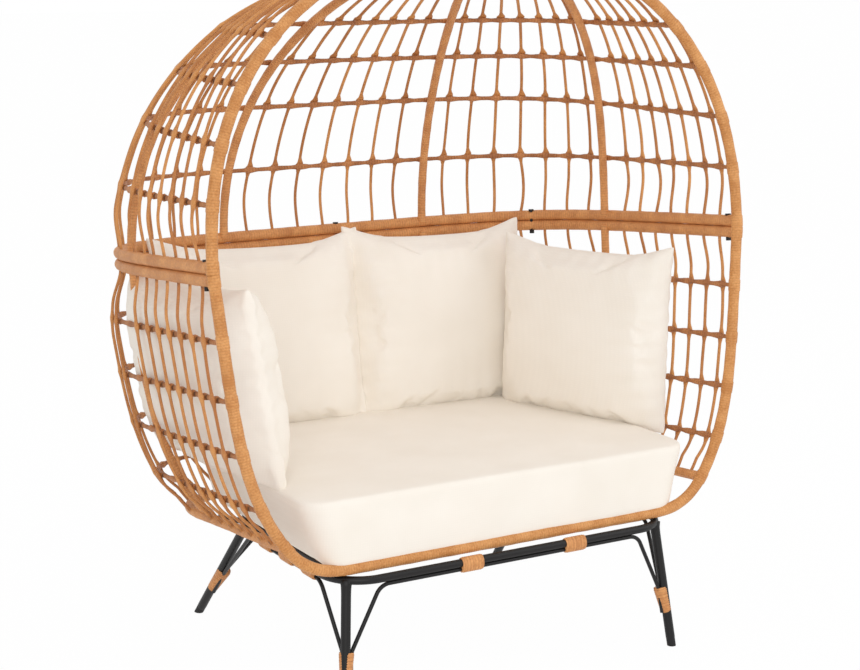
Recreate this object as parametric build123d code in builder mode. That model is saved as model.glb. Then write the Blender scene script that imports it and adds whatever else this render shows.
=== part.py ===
"""Two-seat nest chair: a caged egg shell in two bolted halves on a black leg frame, with loose cushions.

The frame of reference has +Z up, +X to the right as seen from the front, and -Y towards the front.
The origin is on the floor, in the middle of the chair's width and depth.
"""

from build123d import *
import bisect
import math
import os

os.makedirs("parts", exist_ok=True)

# Egg shell: the surface that carries the hoops, rails and ribs, upright before it is tipped back
SEAM_HALF_WIDTH = 586.0
SEAM_DEPTH = 723.0
SEAM_HEIGHT = 842.0
DOME_RISE = 567.0
BASKET_DROP = 570.0
FRONT_Y = -323.5
PLAN_POWER = 4.4
DOME_POWER = 2.3
BASKET_TAPER = 0.087
BASKET_CURL = 0.199
BASKET_CURL_POWER = 5
CAGE_TILT = 5.2
CROWN_SHARE = 0.22
LEVEL_STATIONS = 19
STRAIGHT_TURN = 0.002

# Rattan-wrapped tubes and rods
HOOP_RADIUS = 11.0
RAIL_RADIUS = 10.0
RIB_RADIUS = 9.0
BAND_RADIUS = 4.5
STRAND_RADIUS = 3.2
FIT_GAP = 0.3
SEAM_GAP = 3.0
SIDE_RIB_Y = 436.0
BACK_RIB_X = 248.0
STRANDS_PER_PANEL = 7
UPPER_BAND_HEIGHTS = [962.0, 1065.0, 1167.0, 1250.0]
LOWER_BAND_HEIGHTS = [721.0, 614.0, 513.0, 412.0]
BOTTOM_RAIL_HEIGHT = 333.0
HOOP_BOTTOM_HEIGHT = 276.0
HOOP_FLAT_HALF = 352.0
HOOP_JOINT = 1.0

# Seam and deck fasteners
BOLT_RADIUS = 3.0
BOLT_CLEARANCE = 0.3
BOLT_HEAD_RADIUS = 6.0
BOLT_HEAD_HEIGHT = 4.0
NUT_HEIGHT = 8.0
NUT_CAP = 2.0

# Black steel base
RING_HALF_WIDTH = 378.0
RING_FRONT = -72.0
RING_BACK = 402.0
RING_CORNER = 80.0
RING_HEIGHT = 257.0
RING_RADIUS = 8.0
LEG_RADIUS = 7.5
FOOT_OUT = 24.5
FRONT_FOOT_FORWARD = 36.5
BACK_FOOT_BACK = 211.5
FOOT_WALL = 1.5
FOOT_LENGTH = 24.0
FOOT_SOLE = 6.0
BRACE_RADIUS = 4.0
BRACE_BEND = 30.0
BRACE_CORNER = 60.0
WRAP_LOW = 72.0
WRAP_HIGH = 122.0
WRAP_RADIUS = 14.5
WRAP_SHIFT = 4.0
TIE_LENGTH = 46.0
TIE_WALL = 2.5
FRONT_TIE_X = [-97.0, 141.0]
SIDE_TIE_Y = [52.0, 147.0, 240.0]

# Seat support
DECK_RADIUS = 8.0
DECK_BOLT_Y = [93.0, 279.0]
SLAT_WIDTH = 32.0
SLAT_THICKNESS = 13.5
SLAT_CORNER = 4.0
SLAT_COUNT = 7
SLAT_FIRST_Y = 0.0
SLAT_STEP = 62.0
STRUT_RADIUS = 6.0

# Cushions
SEAT_HALF_WIDTH = 428.0
SEAT_FRONT = -50.0
SEAT_DEPTH = 605.0
SEAT_THICKNESS = 118.0
SEAT_FRONT_CORNER = 45.0
SEAT_BACK_CORNER = 190.0
SEAT_EDGE = 14.0
SEAT_SIDE = 30.0
SEAT_FOOT_DRAW = 36.0
SEAT_FOOT_SIDE = 45.0
SEAT_CROWN = 8.0
SEAT_CROWN_INSET = 60.0
PILLOW_SIZE = 412.0
PILLOW_THICKNESS = 140.0
PILLOW_DRAW = 14.0
PILLOW_FOOT_DRAW = 1.0
PILLOW_STEPS = [(1.0, 130.0), (0.85, 80.0), (0.5, 30.0)]
PILLOW_GAP = 0.5
BACK_PILLOW_INSET = 35.0
SIDE_PILLOW_INSET = 30.0
BACK_LEAN = 9.0
SIDE_LEAN = 8.0
SIDE_YAW = 15.4
SIDE_PILLOW_Y = 262.0
COVER_WALL = 2.5
FILL_GAP = 1.5
COVER_SHARE = 0.97
FILL_SHARE = 0.965


def unit(vector):
    """The vector at length one."""
    return vector / vector.length


# Egg shell surface

PLAN_BEND = 2.0 / PLAN_POWER
DOME_BEND = 2.0 / DOME_POWER


def plan_point(angle):
    """Seam outline at an angle from the right end of the front: a squarish half ellipse."""
    across = math.copysign(abs(math.cos(angle)) ** PLAN_BEND, math.cos(angle))
    back = abs(math.sin(angle)) ** PLAN_BEND
    return Vector(SEAM_HALF_WIDTH * across, SEAM_DEPTH * back, 0)


def plan_tangent(angle):
    """Direction of the seam outline at an angle."""
    across = -SEAM_HALF_WIDTH * abs(math.sin(angle)) ** (2 - PLAN_BEND)
    back = SEAM_DEPTH * abs(math.cos(angle)) ** (2 - PLAN_BEND)
    return unit(Vector(across, math.copysign(back, math.cos(angle)), 0))


def shell_share(height):
    """Width of the shell at a height, as a share of its width at the seam."""
    if height >= SEAM_HEIGHT:
        rise = min((height - SEAM_HEIGHT) / DOME_RISE, 1.0)
        return (1 - rise**DOME_POWER) ** (1 / DOME_POWER)
    drop = (SEAM_HEIGHT - height) / BASKET_DROP
    return 1 - BASKET_TAPER * drop - BASKET_CURL * drop**BASKET_CURL_POWER


def dome_height(share):
    """Height on the dome where the shell has a share of its seam width."""
    return SEAM_HEIGHT + DOME_RISE * (1 - share**DOME_POWER) ** (1 / DOME_POWER)


def shell_point(angle, height):
    """Point of the shell surface at a plan angle and a height."""
    out = plan_point(angle) * shell_share(height)
    return Vector(out.X, FRONT_Y + out.Y, height)


def shell_normal(angle, height):
    """Outward normal of the shell surface."""
    step = 0.5
    up = shell_point(angle, height + step) - shell_point(angle, height - step)
    return unit(plan_tangent(angle).cross(up))


def shell_offset(angle, height, offset):
    """Point at a distance outside the shell surface."""
    return shell_point(angle, height) + shell_normal(angle, height) * offset


FINE_ANGLES = [math.pi * i / 4000 for i in range(4001)]
FINE_RUN = [0.0]
for start_angle, end_angle in zip(FINE_ANGLES, FINE_ANGLES[1:]):
    FINE_RUN.append(FINE_RUN[-1] + (plan_point(end_angle) - plan_point(start_angle)).length)


def blend_between(value, known, wanted):
    """Value of one rising list that goes with a value of another."""
    place = min(max(bisect.bisect_left(known, value), 1), len(known) - 1)
    share = (value - known[place - 1]) / (known[place] - known[place - 1])
    return wanted[place - 1] + share * (wanted[place] - wanted[place - 1])


def between(first, last, count):
    """Angles that divide the outline between two angles into equal lengths, ends left out."""
    start = blend_between(first, FINE_ANGLES, FINE_RUN)
    end = blend_between(last, FINE_ANGLES, FINE_RUN)
    places = [start + (end - start) * i / (count + 1) for i in range(1, count + 1)]
    return [blend_between(place, FINE_RUN, FINE_ANGLES) for place in places]


SIDE_RIB_ANGLE = math.asin((SIDE_RIB_Y / SEAM_DEPTH) ** (PLAN_POWER / 2))
BACK_RIB_ANGLE = math.acos((BACK_RIB_X / SEAM_HALF_WIDTH) ** (PLAN_POWER / 2))
RIB_ANGLES = {
    "right_side": SIDE_RIB_ANGLE,
    "right_back": BACK_RIB_ANGLE,
    "left_back": math.pi - BACK_RIB_ANGLE,
    "left_side": math.pi - SIDE_RIB_ANGLE,
}
PANELS = {
    "right_side": (0.0, SIDE_RIB_ANGLE),
    "right_back": (SIDE_RIB_ANGLE, BACK_RIB_ANGLE),
    "back": (BACK_RIB_ANGLE, math.pi - BACK_RIB_ANGLE),
    "left_back": (math.pi - BACK_RIB_ANGLE, math.pi - SIDE_RIB_ANGLE),
    "left_side": (math.pi - SIDE_RIB_ANGLE, math.pi),
}

# Layers through the cage wall: strands outside, bands between, ribs inside
STRAND_OFFSET = RAIL_RADIUS + STRAND_RADIUS + FIT_GAP
BAND_OFFSET = STRAND_OFFSET - STRAND_RADIUS - BAND_RADIUS - FIT_GAP
RIB_OFFSET = BAND_OFFSET - BAND_RADIUS - RIB_RADIUS - FIT_GAP
RAIL_STEP = RAIL_RADIUS + SEAM_GAP / 2
UPPER_RAIL_HEIGHT = SEAM_HEIGHT + RAIL_STEP
LOWER_RAIL_HEIGHT = SEAM_HEIGHT - RAIL_STEP
CROWN_HEIGHT = dome_height(CROWN_SHARE)


# Tubes

def arc_path(stations):
    """Wire of tangent arcs through (point, direction) stations: two arcs to a span, or a line."""
    with BuildLine() as line:
        for (start, leaving), (end, arriving) in zip(stations, stations[1:]):
            span = end - start
            if unit(span).cross(leaving).length + unit(span).cross(arriving).length < STRAIGHT_TURN:
                Line(start, end)
                continue
            both = leaving + arriving
            turn = 2 * (1 - leaving.dot(arriving))
            along = 2 * span.dot(both)
            reach = span.dot(span) * 2 / (along + math.sqrt(along**2 + 4 * turn * span.dot(span)))
            middle = (start + end + (leaving - arriving) * reach) / 2
            crossing = unit(end - arriving * reach - start - leaving * reach)
            TangentArc(start, middle, tangent=leaving)
            TangentArc(middle, end, tangent=crossing)
    return line.wire()


def stations_on(curve, values):
    """(point, direction) pairs on a curve at some values of its parameter."""
    step = (values[-1] - values[0]) * 1e-4
    return [(curve(v), unit(curve(v + step) - curve(v - step))) for v in values]


def spread(first, last, count):
    """Evenly spaced values, ends included."""
    return [first + (last - first) * i / count for i in range(count + 1)]


def tube(path, radius):
    """Round bar along a wire."""
    with BuildPart() as bar:
        with BuildSketch(Plane(origin=path @ 0, z_dir=path % 0)):
            Circle(radius)
        sweep(path=path)
    return bar.part


def keep(part, name):
    """Labels a finished piece and writes it."""
    part.label = name
    export_step(part, f"parts/{name}.step")


TILT_AXIS = Axis((0, FRONT_Y, SEAM_HEIGHT), (1, 0, 0))


def tipped(part):
    """A piece of the cage tipped back about the front of the seam."""
    return part.rotate(TILT_AXIS, -CAGE_TILT)


def tipped_point(point):
    """A point of the cage tipped back about the front of the seam."""
    turn = math.radians(CAGE_TILT)
    rise, back = point.Z - SEAM_HEIGHT, point.Y - FRONT_Y
    y = FRONT_Y + back * math.cos(turn) + rise * math.sin(turn)
    z = SEAM_HEIGHT + rise * math.cos(turn) - back * math.sin(turn)
    return Vector(point.X, y, z)


# Front hoop

def dome_hoop_point(turn):
    """Front arch at a turn from 0 at the right end to pi at the left end."""
    across = math.copysign(abs(math.cos(turn)) ** DOME_BEND, math.cos(turn))
    rise = DOME_RISE * math.sin(turn) ** DOME_BEND
    return Vector(SEAM_HALF_WIDTH * across, FRONT_Y, SEAM_HEIGHT + rise)


def dome_hoop_direction(turn):
    """Direction of the front arch."""
    across = -SEAM_HALF_WIDTH * math.sin(turn) ** (2 - DOME_BEND)
    rise = DOME_RISE * abs(math.cos(turn)) ** (2 - DOME_BEND)
    rise = math.copysign(rise, math.cos(turn))
    return unit(Vector(across, 0, rise))


HOOP_JOINT_TURN = math.asin((HOOP_JOINT / DOME_RISE) ** (1 / DOME_BEND))
ARCH_STATIONS = [
    (dome_hoop_point(turn), dome_hoop_direction(turn))
    for turn in spread(HOOP_JOINT_TURN, math.pi - HOOP_JOINT_TURN, 12)
]
front_arch = tube(arc_path(ARCH_STATIONS), HOOP_RADIUS)
keep(tipped(front_arch), "front_arch")


def mirrored(station):
    """The station on the other side of the chair, with the path running back up."""
    point, direction = station
    return Vector(-point.X, point.Y, point.Z), Vector(direction.X, -direction.Y, -direction.Z)


LOWER_SIDE = stations_on(
    lambda height: shell_point(0, height),
    spread(SEAM_HEIGHT - HOOP_JOINT, BOTTOM_RAIL_HEIGHT, 4),
)
HOOP_CORNER = (Vector(HOOP_FLAT_HALF, FRONT_Y, HOOP_BOTTOM_HEIGHT), Vector(-1, 0, 0))
LOWER_HALF = LOWER_SIDE + [HOOP_CORNER]
lower_hoop = tube(arc_path(LOWER_HALF + [mirrored(s) for s in reversed(LOWER_HALF)]), HOOP_RADIUS)
keep(tipped(lower_hoop), "lower_front_hoop")


# Rails, crown ring, bands: level members from one side of the hoop to the other

def clear_of_hoop(angle_curve, member_radius, level):
    """First angle at which a level member's end clears the front hoop."""
    angle = 1e-4
    while True:
        ahead = angle_curve(angle)
        sideways = abs(ahead.X - SEAM_HALF_WIDTH * shell_share(level))
        reach = max(sideways - member_radius, 0.0)
        if math.hypot(reach, ahead.Y - FRONT_Y) > HOOP_RADIUS + 2 * FIT_GAP:
            return angle
        angle += 1e-4


def level_path(level, offset, radius):
    """Path of a level member at a height and an offset from the shell surface."""
    def curve(angle):
        return shell_offset(angle, level, offset)

    first = clear_of_hoop(curve, radius, level)
    inner = between(0.0, math.pi, LEVEL_STATIONS)
    return arc_path(stations_on(curve, [first] + inner + [math.pi - first]))


END_BOLT_ANGLE = between(0.0, SIDE_RIB_ANGLE, 15)[0]
BACK_BOLT_ANGLE = between(SIDE_RIB_ANGLE, BACK_RIB_ANGLE, 15)[6]
MIDDLE_BOLT_ANGLE = between(BACK_RIB_ANGLE, math.pi - BACK_RIB_ANGLE, 15)[6]
BOLT_ANGLES = [
    END_BOLT_ANGLE,
    BACK_BOLT_ANGLE,
    MIDDLE_BOLT_ANGLE,
    math.pi - BACK_BOLT_ANGLE,
    math.pi - END_BOLT_ANGLE,
]
BOLT_PLACES = [shell_point(angle, SEAM_HEIGHT) for angle in BOLT_ANGLES]


def bored_rail(level):
    """Seam rail with a clearance hole for each seam bolt."""
    rail = tube(level_path(level, 0.0, RAIL_RADIUS), RAIL_RADIUS)
    with BuildPart() as bored:
        add(rail)
        for place in BOLT_PLACES:
            with Locations(Vector(place.X, place.Y, level)):
                Cylinder(BOLT_RADIUS + BOLT_CLEARANCE, 4 * RAIL_RADIUS, mode=Mode.SUBTRACT)
    return bored.part


keep(tipped(bored_rail(UPPER_RAIL_HEIGHT)), "upper_seam_rail")
keep(tipped(bored_rail(LOWER_RAIL_HEIGHT)), "lower_seam_rail")
bottom_path = level_path(BOTTOM_RAIL_HEIGHT, 0.0, RAIL_RADIUS)
crown_path = level_path(CROWN_HEIGHT, 0.0, RIB_RADIUS)
keep(tipped(tube(bottom_path, RAIL_RADIUS)), "bottom_rail")
keep(tipped(tube(crown_path, RIB_RADIUS)), "crown_ring")
for number, level in enumerate(UPPER_BAND_HEIGHTS, 1):
    upper_band = tube(level_path(level, BAND_OFFSET, BAND_RADIUS), BAND_RADIUS)
    keep(tipped(upper_band), f"upper_band_{number}")
for number, level in enumerate(LOWER_BAND_HEIGHTS, 1):
    lower_band = tube(level_path(level, BAND_OFFSET, BAND_RADIUS), BAND_RADIUS)
    keep(tipped(lower_band), f"lower_band_{number}")


# Ribs and strands: members that climb the shell

def crown_end(angle, clearance):
    """Height at which a climbing member stops short of the crown ring."""
    out = plan_point(angle)
    facing = Vector(plan_tangent(angle).Y, -plan_tangent(angle).X, 0)
    return dome_height(CROWN_SHARE + (RIB_RADIUS + clearance) / out.dot(facing))


def dome_heights(low, high, count):
    """Heights up the dome, closer together towards the top."""
    turns = spread(
        math.asin(((low - SEAM_HEIGHT) / DOME_RISE) ** (1 / DOME_BEND)),
        math.asin(((high - SEAM_HEIGHT) / DOME_RISE) ** (1 / DOME_BEND)),
        count,
    )
    return [SEAM_HEIGHT + DOME_RISE * math.sin(turn) ** DOME_BEND for turn in turns]


def climbing_path(angle, heights, offset):
    """Path up the shell through given heights; offset is a function of the height."""
    points = [shell_offset(angle, height, offset(height)) for height in heights]
    found = []
    for place, point in enumerate(points):
        step = 0.2
        up = shell_offset(angle, heights[place] + step, offset(heights[place] + step))
        down = shell_offset(angle, heights[place] - step, offset(heights[place] - step))
        heading = up - down if heights[-1] > heights[0] else down - up
        found.append((point, unit(heading)))
    return arc_path(found)


def eased(value):
    """Smooth step from 0 to 1."""
    value = min(max(value, 0.0), 1.0)
    return value * value * (3 - 2 * value)


UPPER_START = UPPER_RAIL_HEIGHT + RAIL_RADIUS + 2 * FIT_GAP
LOWER_START = LOWER_RAIL_HEIGHT - RAIL_RADIUS - 2 * FIT_GAP
LOWER_END = BOTTOM_RAIL_HEIGHT + RAIL_RADIUS + 2 * FIT_GAP


def upper_strand_offset(top):
    """Offset of an upper strand: on the rail at its foot, outside the bands, on the crown ring at its top."""
    first, last = UPPER_BAND_HEIGHTS[0], UPPER_BAND_HEIGHTS[-1]

    def offset(height):
        bottom_share = eased((height - UPPER_START) / (0.6 * (first - UPPER_START)))
        top_share = eased((top - height) / (0.9 * (top - last)))
        return STRAND_OFFSET * min(bottom_share, top_share)

    return offset


def lower_strand_offset(height):
    """Offset of a lower strand: on the seam rail at its top, outside the bands, on the bottom rail below."""
    first, last = LOWER_BAND_HEIGHTS[0], LOWER_BAND_HEIGHTS[-1]
    top_share = eased((LOWER_START - height) / (0.6 * (LOWER_START - first)))
    bottom_share = eased((height - LOWER_END) / (0.9 * (last - LOWER_END)))
    return STRAND_OFFSET * min(top_share, bottom_share)


for name, angle in RIB_ANGLES.items():
    top = crown_end(angle, 10 * FIT_GAP)
    rise = climbing_path(angle, dome_heights(UPPER_START, top, 5), lambda height: RIB_OFFSET)
    keep(tipped(tube(rise, RIB_RADIUS)), f"upper_rib_{name}")
    drop = climbing_path(angle, spread(LOWER_START, LOWER_END, 5), lambda height: RIB_OFFSET)
    keep(tipped(tube(drop, RIB_RADIUS)), f"lower_rib_{name}")

def upper_strand(angle):
    """One strand of the dome, from the seam rail over the bands to the crown ring."""
    hoop_share = (HOOP_RADIUS + STRAND_RADIUS + 4 * FIT_GAP) / plan_point(angle).Y
    top = min(crown_end(angle, 4 * FIT_GAP), dome_height(hoop_share))
    levels = spread(UPPER_START, UPPER_BAND_HEIGHTS[0], 2)[:-1] + UPPER_BAND_HEIGHTS
    levels += dome_heights(UPPER_BAND_HEIGHTS[-1], top, 3)[1:]
    return tube(climbing_path(angle, levels, upper_strand_offset(top)), STRAND_RADIUS)


def lower_strand(angle):
    """One strand of the basket, from the seam rail over the bands to the bottom rail."""
    levels = spread(LOWER_START, LOWER_BAND_HEIGHTS[0], 2)[:-1] + LOWER_BAND_HEIGHTS
    levels += spread(LOWER_BAND_HEIGHTS[-1], LOWER_END, 2)[1:]
    return tube(climbing_path(angle, levels, lower_strand_offset), STRAND_RADIUS)


def panel(strands):
    """The strands of one panel as one piece."""
    with BuildPart() as group:
        add(strands)
    return group.part


for name, (first, last) in PANELS.items():
    angles = between(first, last, STRANDS_PER_PANEL)
    keep(tipped(panel([upper_strand(angle) for angle in angles])), f"upper_strands_{name}")
    keep(tipped(panel([lower_strand(angle) for angle in angles])), f"lower_strands_{name}")


# Seam bolts and cap nuts, through both rails

with BuildPart() as seam_bolts:
    for place in BOLT_PLACES:
        with BuildSketch(Plane(Vector(place.X, place.Y, UPPER_RAIL_HEIGHT + RAIL_RADIUS + FIT_GAP))):
            Circle(BOLT_HEAD_RADIUS)
        extrude(amount=BOLT_HEAD_HEIGHT)
        with BuildSketch(Plane(Vector(place.X, place.Y, UPPER_RAIL_HEIGHT + RAIL_RADIUS + FIT_GAP))):
            Circle(BOLT_RADIUS)
        extrude(amount=-(2 * RAIL_RADIUS + 2 * RAIL_STEP + NUT_HEIGHT / 2))
keep(tipped(seam_bolts.part), "seam_bolts")

NUT_TOP = LOWER_RAIL_HEIGHT - RAIL_RADIUS - FIT_GAP
with BuildPart() as seam_nuts:
    for place in BOLT_PLACES:
        with BuildSketch(Plane(Vector(place.X, place.Y, NUT_TOP))):
            RegularPolygon(BOLT_HEAD_RADIUS, 6)
        extrude(amount=-NUT_HEIGHT)
        with BuildSketch(Plane(Vector(place.X, place.Y, NUT_TOP))):
            Circle(BOLT_RADIUS + BOLT_CLEARANCE)
        extrude(amount=-(NUT_HEIGHT - NUT_CAP), mode=Mode.SUBTRACT)
keep(tipped(seam_nuts.part), "seam_nuts")


# Base ring, legs and feet

def ring_path(height):
    """Closed rounded rectangle at a height."""
    front, back = FRONT_Y + RING_FRONT, FRONT_Y + RING_BACK
    with BuildLine() as outline:
        FilletPolyline(
            (RING_HALF_WIDTH, front, height),
            (RING_HALF_WIDTH, back, height),
            (-RING_HALF_WIDTH, back, height),
            (-RING_HALF_WIDTH, front, height),
            radius=RING_CORNER,
            close=True,
        )
    return outline.wire()


DECK_HEIGHT = RING_HEIGHT + RING_RADIUS + TIE_WALL + DECK_RADIUS + FIT_GAP
DECK_BOLTS = [
    Vector(side * RING_HALF_WIDTH, FRONT_Y + along, DECK_HEIGHT)
    for side in (-1, 1)
    for along in DECK_BOLT_Y
]
plain_ring = tube(ring_path(RING_HEIGHT), RING_RADIUS)
ring_space = tube(ring_path(RING_HEIGHT), RING_RADIUS + FIT_GAP)
with BuildPart() as base_ring:
    add(plain_ring)
    for place in DECK_BOLTS:
        with BuildSketch(Plane(Vector(place.X, place.Y, RING_HEIGHT))):
            Circle(BOLT_RADIUS + BOLT_CLEARANCE)
        extrude(amount=2 * RING_RADIUS, mode=Mode.SUBTRACT)
keep(base_ring.part, "base_ring")

CORNER_INSET = RING_CORNER * (1 - math.sqrt(0.5))
LEG_X = RING_HALF_WIDTH - CORNER_INSET
LEG_FRONT = FRONT_Y + RING_FRONT + CORNER_INSET
LEG_BACK = FRONT_Y + RING_BACK - CORNER_INSET
LEG_TOPS = {
    "front_left": Vector(-LEG_X, LEG_FRONT, RING_HEIGHT),
    "front_right": Vector(LEG_X, LEG_FRONT, RING_HEIGHT),
    "back_left": Vector(-LEG_X, LEG_BACK, RING_HEIGHT),
    "back_right": Vector(LEG_X, LEG_BACK, RING_HEIGHT),
}
FOOT_STEPS = {"front": -FRONT_FOOT_FORWARD, "back": BACK_FOOT_BACK}
FEET = {
    name: Vector(top.X + math.copysign(FOOT_OUT, top.X), top.Y + FOOT_STEPS[name.split("_")[0]], 0)
    for name, top in LEG_TOPS.items()
}
for name, top in LEG_TOPS.items():
    down = FEET[name] - top
    with BuildPart() as leg:
        with BuildSketch(Plane(origin=top, z_dir=unit(down))):
            Circle(LEG_RADIUS)
        extrude(amount=down.length - FOOT_SOLE)
        add(ring_space, mode=Mode.SUBTRACT)
    keep(leg.part, f"leg_{name}")

with BuildPart() as foot_caps:
    for name, top in LEG_TOPS.items():
        up = unit(top - FEET[name])
        with BuildSketch(Plane(origin=FEET[name] + up * FOOT_LENGTH, z_dir=-up)):
            Circle(LEG_RADIUS + FOOT_WALL)
        extrude(amount=2 * FOOT_LENGTH)
        with BuildSketch(Plane(origin=FEET[name] + up * FOOT_LENGTH, z_dir=-up)):
            Circle(LEG_RADIUS + FIT_GAP)
        extrude(amount=FOOT_LENGTH - FOOT_SOLE + FIT_GAP, mode=Mode.SUBTRACT)
    split(bisect_by=Plane.XY, keep=Keep.TOP)
keep(foot_caps.part, "foot_caps")


# Brace rods under the ring, bent down beside the legs

BRACE_HEIGHT = RING_HEIGHT - RING_RADIUS - BRACE_RADIUS - FIT_GAP
BRACE_ASIDE = LEG_RADIUS + BRACE_RADIUS + FIT_GAP


def leg_axis(name, height):
    """Point of a leg's axis at a height."""
    share = (RING_HEIGHT - height) / RING_HEIGHT
    return LEG_TOPS[name] + (FEET[name] - LEG_TOPS[name]) * share


def leg_side(name, along):
    """Direction square to a leg that points along one side of the ring."""
    down = unit(FEET[name] - LEG_TOPS[name])
    return unit(along - down * along.dot(down))


def brace_half(name, along, line_point):
    """Points of one end of a brace: up beside the leg, then in under the ring."""
    beside = leg_side(name, along) * BRACE_ASIDE
    return [leg_axis(name, WRAP_LOW) + beside, leg_axis(name, WRAP_HIGH) + beside, line_point]


def brace_path(first, last, start, end):
    """Brace between two legs whose level run goes from start to end."""
    along = unit(end - start)
    points = brace_half(first, along, start) + brace_half(last, -along, end)[::-1]
    with BuildLine() as bent:
        FilletPolyline(*points, radius=BRACE_BEND)
    return bent.wire()


RUN_X = LEG_X - BRACE_CORNER
RUN_FRONT = FRONT_Y + RING_FRONT
RUN_BACK = FRONT_Y + RING_BACK
SIDE_FRONT = LEG_FRONT + BRACE_CORNER
SIDE_BACK = LEG_BACK - BRACE_CORNER
SIDE_X = RING_HALF_WIDTH
BRACES = {
    "front": ("front_left", "front_right", (-RUN_X, RUN_FRONT), (RUN_X, RUN_FRONT)),
    "back": ("back_left", "back_right", (-RUN_X, RUN_BACK), (RUN_X, RUN_BACK)),
    "left": ("front_left", "back_left", (-SIDE_X, SIDE_FRONT), (-SIDE_X, SIDE_BACK)),
    "right": ("front_right", "back_right", (SIDE_X, SIDE_FRONT), (SIDE_X, SIDE_BACK)),
}
brace_spaces = {}
for name, (first, last, start, end) in BRACES.items():
    path = brace_path(first, last, Vector(*start, BRACE_HEIGHT), Vector(*end, BRACE_HEIGHT))
    keep(tube(path, BRACE_RADIUS), f"brace_{name}")
    brace_spaces[name] = tube(path, BRACE_RADIUS + FIT_GAP)


# Rattan wraps where the braces meet the legs, and ties round ring and brace

with BuildPart() as leg_wraps:
    for name, top in LEG_TOPS.items():
        inward_x = leg_side(name, Vector(-math.copysign(1, top.X), 0, 0))
        inward_y = leg_side(name, Vector(0, 1 if name.startswith("front") else -1, 0))
        middle = (inward_x + inward_y) * WRAP_SHIFT
        low, high = leg_axis(name, WRAP_LOW), leg_axis(name, WRAP_HIGH)
        with BuildSketch(Plane(origin=low + middle, z_dir=unit(high - low))):
            Circle(WRAP_RADIUS)
        extrude(amount=(high - low).length)
        with BuildSketch(Plane(origin=low, z_dir=unit(high - low))):
            Circle(LEG_RADIUS + FIT_GAP)
        extrude(amount=(high - low).length * 2, both=True, mode=Mode.SUBTRACT)
    for space in brace_spaces.values():
        add(space, mode=Mode.SUBTRACT)
keep(leg_wraps.part, "leg_wraps")

TIE_PLACES = []
for y in (RUN_FRONT, RUN_BACK):
    TIE_PLACES += [(Vector(x, y, 0), Vector(1, 0, 0)) for x in FRONT_TIE_X]
for side in (-1, 1):
    TIE_PLACES += [(Vector(side * SIDE_X, FRONT_Y + y, 0), Vector(0, 1, 0)) for y in SIDE_TIE_Y]
with BuildPart() as ring_ties:
    for place, along in TIE_PLACES:
        with BuildSketch(Plane(origin=place, x_dir=Vector(0, 0, 1).cross(along), z_dir=along)):
            with Locations((0, RING_HEIGHT)):
                Circle(RING_RADIUS + TIE_WALL)
            with Locations((0, BRACE_HEIGHT)):
                Circle(BRACE_RADIUS + TIE_WALL)
            make_hull()
            with Locations((0, RING_HEIGHT)):
                Circle(RING_RADIUS + FIT_GAP, mode=Mode.SUBTRACT)
            with Locations((0, BRACE_HEIGHT)):
                Circle(BRACE_RADIUS + FIT_GAP, mode=Mode.SUBTRACT)
        extrude(amount=TIE_LENGTH / 2, both=True)
keep(ring_ties.part, "ring_ties")


# Seat frame on the ring, its slats and bolts, and the struts that carry the basket

HOOP_BOTTOM = tipped_point(Vector(0, FRONT_Y, HOOP_BOTTOM_HEIGHT))
DECK_FRONT = HOOP_BOTTOM.Y + HOOP_RADIUS + FIT_GAP
with BuildLine() as deck_line:
    FilletPolyline(
        (RING_HALF_WIDTH, DECK_FRONT, DECK_HEIGHT),
        (RING_HALF_WIDTH, RUN_BACK, DECK_HEIGHT),
        (-RING_HALF_WIDTH, RUN_BACK, DECK_HEIGHT),
        (-RING_HALF_WIDTH, DECK_FRONT, DECK_HEIGHT),
        radius=RING_CORNER,
    )
deck_path = deck_line.wire()
plain_deck = tube(deck_path, DECK_RADIUS)
with BuildPart() as seat_frame:
    add(plain_deck)
    for place in DECK_BOLTS:
        with BuildSketch(Plane(place)):
            Circle(BOLT_RADIUS + BOLT_CLEARANCE)
        extrude(amount=2 * DECK_RADIUS, both=True, mode=Mode.SUBTRACT)
keep(seat_frame.part, "seat_frame")

with BuildPart() as deck_bolts:
    for place in DECK_BOLTS:
        with BuildSketch(Plane(place + Vector(0, 0, DECK_RADIUS + FIT_GAP))):
            Circle(BOLT_HEAD_RADIUS)
        extrude(amount=BOLT_HEAD_HEIGHT)
        with BuildSketch(Plane(place + Vector(0, 0, DECK_RADIUS + FIT_GAP))):
            Circle(BOLT_RADIUS)
        extrude(amount=-(2 * DECK_RADIUS + TIE_WALL + RING_RADIUS))
keep(deck_bolts.part, "deck_bolts")

SLAT_BOTTOM = DECK_HEIGHT + DECK_RADIUS + FIT_GAP
with BuildPart() as seat_slats:
    for number in range(SLAT_COUNT):
        y = FRONT_Y + SLAT_FIRST_Y + number * SLAT_STEP
        with BuildSketch(Plane(Vector(0, y, SLAT_BOTTOM))):
            RectangleRounded(2 * (RING_HALF_WIDTH + DECK_RADIUS), SLAT_WIDTH, SLAT_CORNER)
        extrude(amount=SLAT_THICKNESS)
keep(seat_slats.part, "seat_slats")

rail_space = tipped(tube(bottom_path, RAIL_RADIUS + FIT_GAP))
deck_space = tube(deck_path, DECK_RADIUS + FIT_GAP)
strut_bars = []
for name, angle in RIB_ANGLES.items():
    rail = tipped_point(shell_point(angle, BOTTOM_RAIL_HEIGHT))
    if name.endswith("side"):
        inner = Vector(math.copysign(RING_HALF_WIDTH, rail.X), rail.Y, DECK_HEIGHT)
    else:
        inner = Vector(rail.X, RUN_BACK, DECK_HEIGHT)
    with BuildLine() as straight:
        Line(rail, inner)
    strut_bars.append(tube(straight.wire(), STRUT_RADIUS))
with BuildPart() as struts:
    add(strut_bars)
    add(rail_space, mode=Mode.SUBTRACT)
    add(deck_space, mode=Mode.SUBTRACT)
keep(struts.part, "basket_struts")


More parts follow.
